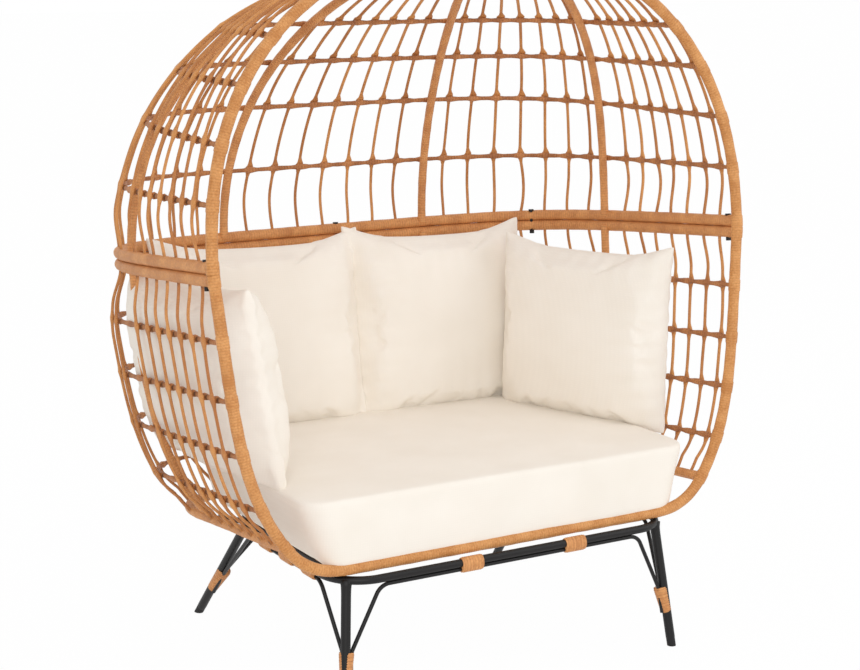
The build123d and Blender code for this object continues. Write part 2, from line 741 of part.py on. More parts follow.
# Seat cushion: a box cushion with a low crown, rounded to the basket at the back

SEAT_BOTTOM = SLAT_BOTTOM + SLAT_THICKNESS + FIT_GAP
SEAT_FRONT_Y = FRONT_Y + SEAT_FRONT


def seat_form(wall):
    """Seat cushion shape drawn in by a wall thickness."""
    top = SEAT_BOTTOM + SEAT_THICKNESS
    levels = [
        (SEAT_BOTTOM + wall, SEAT_FOOT_DRAW),
        (SEAT_BOTTOM + SEAT_FOOT_SIDE, 0.0),
        (top - SEAT_CROWN - SEAT_SIDE, 0.0),
        (top - SEAT_CROWN - wall, SEAT_EDGE),
        (top - wall, SEAT_CROWN_INSET),
    ]
    with BuildPart() as form:
        for height, draw in levels:
            inset = draw + wall
            half = SEAT_HALF_WIDTH - inset
            front, back = SEAT_FRONT_Y + inset, SEAT_FRONT_Y + SEAT_DEPTH - inset
            front_corner = max(SEAT_FRONT_CORNER - inset, SEAT_EDGE)
            back_corner = SEAT_BACK_CORNER - inset
            with BuildSketch(Plane.XY.offset(height)):
                with BuildLine():
                    FilletPolyline(
                        (-half, front),
                        (half, front),
                        (half, back),
                        (-half, back),
                        radius=[front_corner, front_corner, back_corner, back_corner],
                        close=True,
                    )
                make_face()
        loft(ruled=True)
    return form.part


def hollow(outer, inner):
    """Cover that is open inside for its fill."""
    with BuildPart() as cover:
        add(outer)
        add(inner, mode=Mode.SUBTRACT)
    return cover.part


keep(hollow(seat_form(0.0), seat_form(COVER_WALL)), "seat_cushion_cover")
keep(seat_form(COVER_WALL + FILL_GAP), "seat_cushion_foam")


# Back and side pillows: knife-edged, plump in the middle, corners drawn out

def pillow_form():
    """Pillow shape on the level plane, with its foot edge towards -Y."""
    half = PILLOW_SIZE / 2
    thick = PILLOW_THICKNESS / 2
    lower = [(-thick * share, inset) for share, inset in PILLOW_STEPS]
    levels = lower + [(0.0, 0.0)] + [(-height, inset) for height, inset in reversed(lower)]
    with BuildPart() as form:
        for height, inset in levels:
            side = half - inset
            bow = side - PILLOW_DRAW * side / half
            foot = side - PILLOW_FOOT_DRAW * side / half
            corners = [(-side, -side), (side, -side), (side, side), (-side, side)]
            middles = [(0, -foot), (bow, 0), (0, bow), (-bow, 0)]
            with BuildSketch(Plane.XY.offset(height)):
                with BuildLine():
                    for number in range(4):
                        ThreePointArc(corners[number], middles[number], corners[(number + 1) % 4])
                make_face()
        loft(ruled=True)
    return form.part


def seat_top(inset):
    """Height of the seat cushion's top at a distance in from its edge."""
    share = (inset - SEAT_EDGE) / (SEAT_CROWN_INSET - SEAT_EDGE)
    return SEAT_BOTTOM + SEAT_THICKNESS - SEAT_CROWN * (1 - share)


BACK_FOOT = seat_top(BACK_PILLOW_INSET) + PILLOW_GAP
SIDE_FOOT = seat_top(SEAT_CROWN_INSET) + PILLOW_GAP
BACK_TILT = math.radians(BACK_LEAN)
SIDE_TILT = math.radians(SIDE_LEAN)
SIDE_TURN = math.radians(SIDE_YAW)
BACK_X = PILLOW_SIZE / 2 + PILLOW_GAP / 2
BACK_FOOT_Y = SEAT_FRONT_Y + SEAT_DEPTH - BACK_PILLOW_INSET
SIDE_FOOT_X = SEAT_HALF_WIDTH - SIDE_PILLOW_INSET
BACK_UP = Vector(0, math.sin(BACK_TILT), math.cos(BACK_TILT))
PILLOW_PLANES = {}
for name, side in (("left", -1), ("right", 1)):
    PILLOW_PLANES[f"back_pillow_{name}"] = Plane(
        origin=Vector(side * BACK_X, BACK_FOOT_Y, BACK_FOOT) + BACK_UP * (PILLOW_SIZE / 2),
        x_dir=(1, 0, 0),
        z_dir=(0, -math.cos(BACK_TILT), math.sin(BACK_TILT)),
    )
    out_x, out_y = side * math.cos(SIDE_TURN), math.sin(SIDE_TURN)
    side_up = Vector(out_x * math.sin(SIDE_TILT), out_y * math.sin(SIDE_TILT), math.cos(SIDE_TILT))
    PILLOW_PLANES[f"side_pillow_{name}"] = Plane(
        origin=Vector(side * SIDE_FOOT_X, FRONT_Y + SIDE_PILLOW_Y, SIDE_FOOT) + side_up * (PILLOW_SIZE / 2),
        x_dir=(-out_y, out_x, 0),
        z_dir=(out_x * math.cos(SIDE_TILT), out_y * math.cos(SIDE_TILT), -math.sin(SIDE_TILT)),
    )
whole_pillow = pillow_form()
pillow_cover = hollow(whole_pillow, scale(whole_pillow, by=COVER_SHARE))
pillow_fill = scale(whole_pillow, by=FILL_SHARE)
for name, plane in PILLOW_PLANES.items():
    keep(pillow_cover.moved(plane.location), f"{name}_cover")
    keep(pillow_fill.moved(plane.location), f"{name}_fill")
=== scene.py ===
"""Looks of the two-seat nest chair: a wound wicker cage, tipped back on a black steel base, with cream cushions.

All lengths are in metres, in the frame of the CAD model: +Z up, +X to the right, -Y towards the front opening.
"""
import math
import bpy
import bmesh
import numpy as np
from mathutils import Matrix


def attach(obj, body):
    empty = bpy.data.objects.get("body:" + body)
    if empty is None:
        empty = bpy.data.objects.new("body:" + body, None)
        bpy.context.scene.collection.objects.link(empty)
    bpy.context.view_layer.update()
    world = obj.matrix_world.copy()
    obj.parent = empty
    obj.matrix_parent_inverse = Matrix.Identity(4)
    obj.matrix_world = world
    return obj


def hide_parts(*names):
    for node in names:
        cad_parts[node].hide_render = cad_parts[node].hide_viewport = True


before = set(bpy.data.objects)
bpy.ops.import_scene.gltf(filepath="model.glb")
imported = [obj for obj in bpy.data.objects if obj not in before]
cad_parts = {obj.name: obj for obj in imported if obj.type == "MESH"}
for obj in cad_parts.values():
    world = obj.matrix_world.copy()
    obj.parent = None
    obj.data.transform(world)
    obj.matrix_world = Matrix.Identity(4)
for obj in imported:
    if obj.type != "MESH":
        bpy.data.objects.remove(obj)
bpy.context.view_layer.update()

# Cage: the egg surface before it is tipped back, with the sizes of the CAD model
SEAM_HALF_WIDTH = 0.586
SEAM_DEPTH = 0.723
SEAM_HEIGHT = 0.842
DOME_RISE = 0.567
BASKET_DROP = 0.570
FRONT_Y = -0.3235
PLAN_BEND = 2 / 4.4
DOME_POWER = 2.3
BASKET_TAPER = 0.087
BASKET_CURL = 0.199
TILT = math.radians(5.2)
CROWN_SHARE = 0.22
HOOP_RADIUS = 0.011
HOOP_BOTTOM = 0.276
HOOP_FLAT_HALF = 0.352
HOOP_CORNER_PULL = 1.15
RAIL_RADIUS = 0.010
RAIL_STEP = 0.0115
BOTTOM_RAIL = 0.333
RIB_RADIUS = 0.009
RIB_OFFSET = -0.0083
SIDE_RIB_DEPTH = 0.436
BACK_RIB_HALF = 0.248
BAND_OFFSET = 0.0055
UPPER_BANDS = np.array([0.962, 1.065, 1.167, 1.250])
LOWER_BANDS = np.array([0.721, 0.614, 0.513, 0.412])
STRAND_OFFSET = 0.0135
STRANDS_PER_PANEL = 7

# Angles along the seam outline of the four ribs, and of the five panels between them
SIDE_RIB = math.asin((SIDE_RIB_DEPTH / SEAM_DEPTH) ** (1 / PLAN_BEND))
BACK_RIB = math.acos((BACK_RIB_HALF / SEAM_HALF_WIDTH) ** (1 / PLAN_BEND))
RIBS = {
    "right_side": SIDE_RIB,
    "right_back": BACK_RIB,
    "left_back": math.pi - BACK_RIB,
    "left_side": math.pi - SIDE_RIB,
}
PANELS = {
    "right_side": (0.0, SIDE_RIB),
    "right_back": (SIDE_RIB, BACK_RIB),
    "back": (BACK_RIB, math.pi - BACK_RIB),
    "left_back": (math.pi - BACK_RIB, math.pi - SIDE_RIB),
    "left_side": (math.pi - SIDE_RIB, math.pi),
}

# Where the looks go further than the CAD model: the back of the dome leans in sooner, the upper bands climb
# to the back, the back corners of the basket stand out, and the seam rails and the legs are fuller
DEPTH_POWER = 1.92
UPPER_LIFTS = np.array([0.033, 0.062, 0.050, 0.039])
LOWER_LIFTS = np.zeros(4)
CORNER_ANGLE = 0.62
CORNER_REACH = 0.16
CORNER_ACROSS = 0.78
CORNER_BACK = 0.62
SEAM_PUSH = 0.008
BASKET_PUSH = 0.028
BASKET_PUSH_GROWTH = 0.16
DOME_PUSH_FADE = 0.2
RAIL_LOOK = 0.0117
LEG_LOOK = 0.0094

# Canes and bands: half sizes, how they swell where they are bound together, and the painted shade in the slots beside
# that
CANE_HALF_WIDTH = 0.0034
CANE_HALF_DEPTH = 0.0031
KNOT_REACH = 0.019
KNOT_SPREAD = 0.0066
KNOT_DEPTH = 0.0018
KNOT_SKEW = 0.0032
BAND_HALF_HEIGHT = 0.0046
BAND_HALF_DEPTH = 0.0042
BAND_SWELL = 0.0026
BAND_SWELL_DEPTH = 0.0010
BAND_SWELL_REACH = 0.020
RIB_SWELL_REACH = 0.016
SLOT_SHADE_PLACE = 0.0122
SLOT_SHADE_WIDTH = 0.0042
# How far a cane bows sideways between bands, from its lowest stretch to its highest
UPPER_BOWS = np.array([0.0046, 0.0016, 0.0012, 0.0010, 0.0008])
LOWER_BOWS = np.array([0.0010, 0.0012, 0.0012, 0.0016, 0.0030])

# Base: each leg has its side, the Y of its top, and how far its foot stands forwards or back of that
RING_HALF_WIDTH = 0.378
RING_FRONT = -0.072
RING_BACK = 0.402
RING_HEIGHT = 0.257
LEG_X = 0.35457
LEG_SPREAD = 0.0245
LEG_FRONT = FRONT_Y - 0.04857
LEG_BACK = FRONT_Y + 0.37857
FRONT_SPLAY = -0.0365
BACK_SPLAY = 0.2115
LEGS = {
    "leg_front_left": (-1, LEG_FRONT, FRONT_SPLAY),
    "leg_front_right": (1, LEG_FRONT, FRONT_SPLAY),
    "leg_back_left": (-1, LEG_BACK, BACK_SPLAY),
    "leg_back_right": (1, LEG_BACK, BACK_SPLAY),
}
LEG_ROUND_START = 0.93
LEG_ROUND_LENGTH = 0.036
TIE_HALF_LENGTH = 0.023
TIE_DROP = 0.0041
TIE_HALF_WIDTH = 0.0108
TIE_HALF_HEIGHT = 0.0150
FRONT_TIES = (-0.097, 0.141)
SIDE_TIES = (0.052, 0.147, 0.240)
TIE_STATIONS = 48
WRAP_TOP = 0.122
WRAP_BOTTOM = 0.071
WRAP_TOP_RADIUS = 0.0145
WRAP_BOTTOM_RADIUS = 0.0106
WRAP_INSET = 0.0045
WRAP_STATIONS = 52
SLEEVE_PITCH = 0.0046

# Cushions
SEAT_BOTTOM = 0.2979
SEAT_TOP = 0.4159
SEAT_LOW = np.array([-0.436, -0.057, -0.002])
SEAT_HIGH = np.array([0.440, 0.560, 0.121])
SEAT_LIP_START = -0.018
SEAT_LIP_SAG = 0.012
PILLOW_HALF = 0.206
PILLOW_FORM_THICK = 0.062
PILLOW_FORM_DRAW = 0.04
PILLOW_SINK = 0.020
BACK_LEAN = math.radians(9.0)
BACK_PILLOW_DEPTH = 0.520
CLOTH_VOXEL = 0.0068
CLOTH_FRAMES = 20
CLOTH_PRESSURE = 4.0
CLOTH_MOVE_LIMIT = 0.020

# Camera, from a fit to the photograph's frame of 860 pixels across
PHOTO_WIDTH = 860
FOCAL_PIXELS = 1866.7
SENSOR_WIDTH = 36
CAMERA_AZIMUTH = math.radians(-30.391)
CAMERA_ELEVATION = math.radians(11.568)
CAMERA_AIM = np.array([-0.1464, FRONT_Y, 0.6897])
CAMERA_DISTANCE = 3.51


def unit(v):
    """Vectors at length one."""
    return v / np.maximum(np.linalg.norm(v, axis=-1, keepdims=True), 1e-12)


def eased(x):
    """Smooth step from 0 to 1."""
    x = np.clip(x, 0, 1)
    return x * x * (3 - 2 * x)


def share(z):
    """Width of the cage at a height as a share of its seam width: a superellipse above, a curling taper below."""
    rise = np.clip((z - SEAM_HEIGHT) / DOME_RISE, 0, 1)
    drop = np.clip((SEAM_HEIGHT - z) / BASKET_DROP, 0, 1.2)
    dome = np.clip(1 - rise**DOME_POWER, 0, 1) ** (1 / DOME_POWER)
    return np.where(z >= SEAM_HEIGHT, dome, 1 - BASKET_TAPER * drop - BASKET_CURL * drop**5)


def dome_height(part):
    """Height on the dome where the cage has that share of its seam width."""
    return SEAM_HEIGHT + DOME_RISE * (1 - part**DOME_POWER) ** (1 / DOME_POWER)


def plan(t):
    """Seam outline at an angle from its right front end: a squarish half ellipse."""
    c, s = np.cos(t), np.sin(t)
    return SEAM_HALF_WIDTH * np.sign(c) * np.abs(c) ** PLAN_BEND, SEAM_DEPTH * np.abs(s) ** PLAN_BEND


FINE_T = np.linspace(0, math.pi, 6001)
FINE_XY = np.stack(plan(FINE_T), -1)
FINE_RUN = np.concatenate([[0], np.cumsum(np.linalg.norm(np.diff(FINE_XY, axis=0), axis=-1))])
CORNER_RUN = float(np.interp(CORNER_ANGLE, FINE_T, FINE_RUN))


def depth_share(z):
    """Depth of the cage at a height as a share of its seam depth: its back leans in sooner than its sides."""
    rise = np.clip((z - SEAM_HEIGHT) / DOME_RISE, 0, 1)
    return np.where(z >= SEAM_HEIGHT, np.clip(1 - rise**DEPTH_POWER, 0, 1) ** (1 / DEPTH_POWER), share(z))


def corner_push(t, z):
    """How far the back corners stand out: a bell along the outline, mostly below the seam."""
    run = np.interp(t, FINE_T, FINE_RUN)
    nearest = np.minimum(np.abs(run - CORNER_RUN), np.abs(FINE_RUN[-1] - run - CORNER_RUN))
    below = SEAM_PUSH + BASKET_PUSH * eased((SEAM_HEIGHT - z) / BASKET_PUSH_GROWTH)
    above = SEAM_PUSH * (1 - eased((z - SEAM_HEIGHT) / DOME_PUSH_FADE))
    return np.where(z < SEAM_HEIGHT, below, above) * np.exp(-((nearest / CORNER_REACH) ** 2))


def egg(t, z):
    """Upright cage surface: the seam outline scaled by both shares at each height, with its back corners pushed out."""
    x, y = plan(t)
    push = corner_push(t, z)
    x = share(z) * x + CORNER_ACROSS * push * np.sign(np.cos(t))
    y = FRONT_Y + depth_share(z) * y + CORNER_BACK * push
    x, y, z = np.broadcast_arrays(x, y, z)
    return np.stack([x, y, z], -1)


def plan_heading(t):
    """Level direction along the seam outline."""
    c, s = np.cos(t), np.sin(t)
    x = -SEAM_HALF_WIDTH * np.abs(s) ** (2 - PLAN_BEND)
    y = SEAM_DEPTH * np.sign(c) * np.abs(c) ** (2 - PLAN_BEND)
    return unit(np.stack([x, y, np.zeros_like(x)], -1))


def lean_back(v):
    """Directions turned back with the cage about the X axis."""
    c, s = math.cos(TILT), math.sin(TILT)
    return np.stack([v[..., 0], v[..., 1] * c + v[..., 2] * s, v[..., 2] * c - v[..., 1] * s], -1)


def tip(p):
    """Points tipped back about the front of the seam."""
    pivot = np.array([0.0, FRONT_Y, SEAM_HEIGHT])
    return pivot + lean_back(p - pivot)


def outward(t, z):
    """Outward normal of the tipped cage: seam heading crossed with the climb."""
    t, z = np.broadcast_arrays(t, z)
    climb = egg(t, z + 5e-4) - egg(t, z - 5e-4)
    return lean_back(unit(np.cross(plan_heading(t), climb)))


def cage(t, z, offset=0.0):
    """Point at a distance outside the tipped cage surface."""
    t, z = np.broadcast_arrays(t, z)
    return tip(egg(t, z)) + outward(t, z) * np.asarray(offset)[..., None]


def spaced(first, last, count):
    """Angles that divide the outline between two angles into equal lengths, ends left out."""
    a, b = np.interp([first, last], FINE_T, FINE_RUN)
    return np.interp(np.linspace(a, b, count + 2)[1:-1], FINE_RUN, FINE_T)


STRAND_ANGLES = {name: spaced(a, b, STRANDS_PER_PANEL) for name, (a, b) in PANELS.items()}
CROSSINGS = np.concatenate(list(STRAND_ANGLES.values()))


def length_along(path):
    """Distance run along paths, per station."""
    step = np.linalg.norm(np.diff(path, axis=-2), axis=-1)
    return np.concatenate([np.zeros(path.shape[:-2] + (1,)), np.cumsum(step, axis=-1)], -1)


def resampled(path, spacing):
    """A path with stations at an even spacing."""
    run = length_along(path)
    even = np.linspace(0, run[-1], max(int(run[-1] / spacing), 4))
    return np.stack([np.interp(even, run, path[:, i]) for i in range(3)], -1)


# Meshes

def piece(name, points, faces, material, body, nodes=(), wind=None):
    """Mesh object from arrays, riding on a body and standing for CAD nodes; wind is its (run, painted slot shade, tone)
    attribute.
    """
    mesh = bpy.data.meshes.new(name)
    mesh.from_pydata(points.tolist(), [], faces)
    mesh.shade_smooth()
    if wind is not None:
        winding = mesh.attributes.new("wind", "FLOAT_VECTOR", "POINT")
        winding.data.foreach_set("vector", wind.astype(np.float32).ravel())
    mesh.materials.append(material)
    obj = bpy.data.objects.new(name, mesh)
    bpy.context.scene.collection.objects.link(obj)
    if nodes:
        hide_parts(*nodes)
    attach(obj, body)
    return obj


def swept(path, out, wide, deep, sides=12, dome=0.4):
    """Ellipses carried along paths (S, N, 3): wide across, deep along out, with low domes at both ends."""
    along = unit(np.gradient(path, axis=1))
    across = unit(np.cross(along, out))
    out = np.cross(across, along)
    turn = 2 * np.pi * np.arange(sides) / sides
    wide = np.broadcast_to(wide, path.shape[:2])[..., None, None]
    deep = np.broadcast_to(deep, path.shape[:2])[..., None, None]
    ring = path[:, :, None] + across[:, :, None] * (wide * np.cos(turn)[:, None])
    ring = ring + out[:, :, None] * (deep * np.sin(turn)[:, None])
    count, stations = path.shape[:2]
    first = path[:, 0] - along[:, 0] * wide[:, 0, :, 0] * dome
    last = path[:, -1] + along[:, -1] * wide[:, -1, :, 0] * dome
    points = np.concatenate([ring.reshape(count, -1, 3), first[:, None], last[:, None]], 1)
    n, m = np.meshgrid(np.arange(stations - 1), np.arange(sides), indexing="ij")
    a, b = n * sides + m, n * sides + (m + 1) % sides
    quads = np.stack([a, a + sides, b + sides, b], -1).reshape(-1, 4)
    m = np.arange(sides)
    k = (m + 1) % sides
    end = (stations - 1) * sides
    size = stations * sides
    first_cap = np.stack([np.full(sides, size), m, k], -1)
    last_cap = np.stack([np.full(sides, size + 1), end + k, end + m], -1)
    caps = np.concatenate([first_cap, last_cap])
    base = (np.arange(count) * (size + 2))[:, None, None]
    faces = (quads + base).reshape(-1, 4).tolist() + (caps + base).reshape(-1, 3).tolist()
    return points.reshape(-1, 3), faces


def attribute_for(run, slot_shade, tone, sides):
    """(run, painted slot shade, tone) for every point of a sweep: a station's values round its ring, the slot shade on
    the outer side only.
    """
    run, slot_shade, tone = np.broadcast_arrays(run, slot_shade, tone)
    outside = np.clip(np.sin(2 * np.pi * np.arange(sides) / sides) + 0.3, 0, 1)
    values = np.stack([run, slot_shade, tone], -1)
    ring = np.repeat(values[:, :, None], sides, axis=2)
    ring[..., 1] = ring[..., 1] * outside
    return np.concatenate([ring.reshape(len(run), -1, 3), values[:, :1], values[:, -1:]], 1).reshape(-1, 3)


# Materials

def linear(code):
    """Linear colour of an sRGB hex value."""
    s = np.array([int(code[i:i + 2], 16) for i in (1, 3, 5)]) / 255
    rgb = np.where(s <= 0.04045, s / 12.92, ((s + 0.055) / 1.055) ** 2.4)
    return (*rgb.tolist(), 1.0)


def add(tree, kind, inputs=None, **settings):
    """Adds a node with its settings; an input is a value or a socket to link."""
    made = tree.nodes.new(kind)
    for key, value in settings.items():
        setattr(made, key, value)
    for key, value in (inputs or {}).items():
        if isinstance(value, bpy.types.NodeSocket):
            tree.links.new(value, made.inputs[key])
        else:
            made.inputs[key].default_value = value
    return made


def blank(name):
    """New material: its node tree, its shader, and its surface coordinates."""
    material = bpy.data.materials.new(name)
    material.use_nodes = True
    tree = material.node_tree
    return material, tree, tree.nodes["Principled BSDF"], add(tree, "ShaderNodeTexCoord")


def wicker(name, low, high, pitch, groove_shade, ridge, streak):
    """Flat resin wicker: pale caramel strips with painted shade in the fine grooves between turns, and slow shifts of
    tone.

    pitch is the width of a turn, groove how far painted shade darkens the edge of each turn, ridge its bump, and streak
    the scale of its fine grain.
    """
    material, tree, shader, coord = blank(name)
    wind = add(tree, "ShaderNodeAttribute", attribute_name="wind")
    parts = add(tree, "ShaderNodeSeparateXYZ", {0: wind.outputs["Vector"]})
    patches = add(tree, "ShaderNodeTexNoise", {"Vector": coord.outputs["Object"], "Scale": 28.0, "Detail": 3.0})
    fine = add(tree, "ShaderNodeTexNoise", {"Vector": coord.outputs["Object"], "Scale": streak, "Detail": 2.0})
    both = add(tree, "ShaderNodeMath", {0: patches.outputs[0], 1: fine.outputs[0]}, operation="ADD")
    toned = add(tree, "ShaderNodeMath", {0: both.outputs[0], 1: parts.outputs[2]}, operation="ADD")
    tone = add(tree, "ShaderNodeMapRange", {0: toned.outputs[0], 1: 0.75, 2: 1.35})
    shades = {"Factor": tone.outputs[0], "A": linear(low), "B": linear(high)}
    base = add(tree, "ShaderNodeMix", shades, data_type="RGBA")
    turns = add(tree, "ShaderNodeMath", {0: parts.outputs[0], 1: 2 * math.pi / pitch}, operation="MULTIPLY")
    wave = add(tree, "ShaderNodeMath", {0: turns.outputs[0]}, operation="COSINE")
    # Painted shade: the hollows between turns, and the slots given by the wind attribute, are darkened towards deep
    # brown
    painted_groove_shade = add(tree, "ShaderNodeMapRange", {0: wave.outputs[0], 1: -1.0, 2: -0.35, 3: groove_shade, 4: 0.0})
    painted_shade_amount = add(tree, "ShaderNodeMath", {0: painted_groove_shade.outputs[0], 1: parts.outputs[1]}, operation="MAXIMUM")
    shades = {"Factor": painted_shade_amount.outputs[0], "A": base.outputs["Result"], "B": linear("#432614")}
    colour = add(tree, "ShaderNodeMix", shades, data_type="RGBA")
    height = add(tree, "ShaderNodeMath", {0: wave.outputs[0], 1: fine.outputs[0]}, operation="ADD")
    bump = add(tree, "ShaderNodeBump", {"Strength": ridge, "Distance": 0.0006, "Height": height.outputs[0]})
    tree.links.new(colour.outputs["Result"], shader.inputs["Base Color"])
    tree.links.new(bump.outputs[0], shader.inputs["Normal"])
    shader.inputs["Roughness"].default_value = 0.5
    shader.inputs["IOR"].default_value = 1.48
    shader.inputs["Specular IOR Level"].default_value = 0.35
    return material


# Hoop: bright, tight turns of flat strip about 5 mm wide
hoop_winding = wicker("resin_wicker_hoop_winding", "#C07F44", "#E0A264", 0.0052, 0.15, 0.30, 260.0)
# Ribs and rails: the same strip, a shade greyer, in wider turns
rail_winding = wicker("resin_wicker_rail_winding", "#C2824E", "#E3A366", 0.0060, 0.18, 0.30, 240.0)
# Strands: single extruded canes, smooth, with fine lengthwise mottling
strand_cane = wicker("resin_wicker_strand_cane", "#B27340", "#D79859", 0.0300, 0.0, 0.12, 420.0)
# Bands: redder cane bound by short twisted turns, with painted shade in the slots beside each crossing
band_binding = wicker("resin_wicker_band_binding", "#A0663E", "#C98853", 0.0070, 0.22, 0.40, 300.0)


def dark_coat(name, low, roughness, grain):
    """Near black satin surface with a fine orange-peel grain of about 0.8 mm, drawn at 1 to 2 mm so that it shows."""
    material, tree, shader, coord = blank(name)
    peel = add(tree, "ShaderNodeTexNoise", {"Vector": coord.outputs["Object"], "Scale": grain, "Detail": 2.0})
    shades = {"Factor": peel.outputs[0], "A": linear(low), "B": linear("#1A1818")}
    tone = add(tree, "ShaderNodeMix", shades, data_type="RGBA")
    gloss = add(tree, "ShaderNodeMapRange", {0: peel.outputs[0], 3: roughness - 0.06, 4: roughness + 0.06})
    bump = add(tree, "ShaderNodeBump", {"Strength": 0.12, "Distance": 0.0003, "Height": peel.outputs[0]})
    shader.inputs["Specular IOR Level"].default_value = 0.32
    tree.links.new(tone.outputs["Result"], shader.inputs["Base Color"])
    tree.links.new(gloss.outputs[0], shader.inputs["Roughness"])
    tree.links.new(bump.outputs[0], shader.inputs["Normal"])
    return material


# Base tubes: sprayed and baked powder, a soft even sheen
powder_coat = dark_coat("powder_coated_steel", "#0F0E0E", 0.45, 500.0)
# Bolts and nuts: blackened steel, a little brighter at its highlights
black_oxide = dark_coat("black_oxide_fasteners", "#1A1819", 0.36, 700.0)
# Foot caps: moulded rubber, dull and slightly grey
foot_rubber = dark_coat("moulded_rubber_feet", "#242223", 0.68, 900.0)


def woven_polyester(name):
    """Plain-weave polyester cover: warm cream, matt, a faint thread grid that is painted shade between the threads as
    well as a bump, drawn at 2.4 mm so that it shows.
    """
    material, tree, shader, coord = blank(name)
    cloud = add(tree, "ShaderNodeTexNoise", {"Vector": coord.outputs["Object"], "Scale": 9.0, "Detail": 3.0})
    slub = add(tree, "ShaderNodeTexNoise", {"Vector": coord.outputs["Object"], "Scale": 700.0, "Detail": 1.0})
    threads = {"Vector": coord.outputs["Object"], "Scale": 66.0, "Distortion": 0.6, "Detail": 1.0}
    warp = add(tree, "ShaderNodeTexWave", threads, bands_direction="X")
    weft = add(tree, "ShaderNodeTexWave", threads, bands_direction="Z")
    grid = add(tree, "ShaderNodeMath", {0: warp.outputs["Fac"], 1: weft.outputs["Fac"]}, operation="MULTIPLY")
    thread = add(tree, "ShaderNodeMath", {0: grid.outputs[0], 1: slub.outputs[0]}, operation="ADD")
    shades = {"Factor": cloud.outputs[0], "A": linear("#F0E8DC"), "B": linear("#FAF4EB")}
    base = add(tree, "ShaderNodeMix", shades, data_type="RGBA")
    # Painted shade between the threads: where the thread grid and slub are low, the cream is darkened by up to 2.5 %
    thread_shade = add(tree, "ShaderNodeMapRange", {0: thread.outputs[0], 1: 0.2, 2: 1.4, 3: 0.975, 4: 1.0})
    colour = add(tree, "ShaderNodeVectorMath", {0: base.outputs["Result"], "Scale": thread_shade.outputs[0]}, operation="SCALE")
    bump = add(tree, "ShaderNodeBump", {"Strength": 0.05, "Distance": 0.0004, "Height": thread.outputs[0]})
    tree.links.new(colour.outputs[0], shader.inputs["Base Color"])
    tree.links.new(bump.outputs[0], shader.inputs["Normal"])
    shader.inputs["Roughness"].default_value = 0.92
    shader.inputs["Specular IOR Level"].default_value = 0.15
    shader.inputs["Sheen Weight"].default_value = 0.25
    shader.inputs["Sheen Roughness"].default_value = 0.5
    shader.inputs["Sheen Tint"].default_value = linear("#FFF6E8")
    return material


cover_cloth = woven_polyester("woven_polyester_cover")

# Wound tubes

def wound(name, path, out, radius, material, nodes, pitch=0.0052, collars=(), sides=16):
    """Tube wound with flat strip: the radius ripples by the pitch, drifts slowly, and steps up at collars."""
    path = resampled(path, pitch / 4)
    if np.ndim(out) == 1:
        out = np.broadcast_to(out, path.shape)
    else:
        new, old = np.linspace(0, 1, len(path)), np.linspace(0, 1, len(out))
        out = unit(np.stack([np.interp(new, old, out[:, i]) for i in range(3)], -1))
    run = length_along(path)
    ripple = 0.00020 * np.abs(np.cos(np.pi * run / pitch)) - 0.00010
    drift = 0.00016 * np.sin(run * 61 + 1.3) + 0.00014 * np.sin(run * 143 + 0.4)
    step = np.zeros_like(run)
    for place in collars:
        near = np.linalg.norm(path - place, axis=-1)
        step = np.maximum(step, 0.0011 * eased((0.013 - near) / 0.003))
    thick = radius + ripple + drift + step
    points, faces = swept(path[None], out[None], thick[None], thick[None], sides)
    tone = 0.10 * np.sin(run * 37 + 2.0) * np.sin(run * 91)
    wind = attribute_for(run[None], np.zeros((1, 1)), tone[None], sides)
    return piece(name, points, faces, material, "frame", nodes, wind)


def level(z, offset, lift=0.0, start=0.003, spacing=0.004):
    """Stations of a level member round the cage, which climbs by lift at its back, with the outward directions."""
    count = int((FINE_RUN[-1] - 2 * start) / spacing)
    t = np.interp(np.linspace(start, FINE_RUN[-1] - start, count), FINE_RUN, FINE_T)
    z = z + lift * plan(t)[1] / SEAM_DEPTH
    return cage(t, z, np.full_like(t, offset)), outward(t, z), t


# Front hoop: arch over the top, and a lower hoop with a flat bottom
turn = np.linspace(0, np.pi, 900)
bend = 2 / DOME_POWER
arch = np.stack([
    SEAM_HALF_WIDTH * np.sign(np.cos(turn)) * np.abs(np.cos(turn)) ** bend,
    np.full_like(turn, FRONT_Y),
    SEAM_HEIGHT + DOME_RISE * np.sin(turn) ** bend,
], -1)
forward = lean_back(np.array([0.0, -1.0, 0.0]))
rail_levels = [BOTTOM_RAIL, SEAM_HEIGHT + RAIL_STEP, SEAM_HEIGHT - RAIL_STEP]
rim_levels = np.concatenate([UPPER_BANDS, LOWER_BANDS, rail_levels])
rim_right = tip(egg(np.zeros_like(rim_levels), rim_levels))
collars = list(rim_right) + list(rim_right * np.array([-1.0, 1.0, 1.0]))
wound("front_arch_wound", tip(arch), forward, HOOP_RADIUS, hoop_winding, ["front_arch"], collars=collars)

side_z = np.linspace(SEAM_HEIGHT, BOTTOM_RAIL, 160)
side = egg(np.zeros_like(side_z), side_z)
corner_end = np.array([HOOP_FLAT_HALF, FRONT_Y, HOOP_BOTTOM])
chord = np.linalg.norm(corner_end - side[-1])
leave = unit(side[-1] - side[-2]) * chord * HOOP_CORNER_PULL
arrive = np.array([-1.0, 0, 0]) * chord * HOOP_CORNER_PULL
# The corner is a cubic that leaves the side and arrives at the flat along their own directions
h = np.linspace(0, 1, 60)[1:, None]
corner = (2 * h**3 - 3 * h**2 + 1) * side[-1] + (h**3 - 2 * h**2 + h) * leave
corner = corner + (3 * h**2 - 2 * h**3) * corner_end + (h**3 - h**2) * arrive
hoop_half = np.concatenate([side, corner])
lower = np.concatenate([hoop_half, (hoop_half * np.array([-1.0, 1, 1]))[::-1]])
wound("lower_front_hoop_wound", tip(lower), forward, HOOP_RADIUS, hoop_winding, ["lower_front_hoop"], collars=collars)

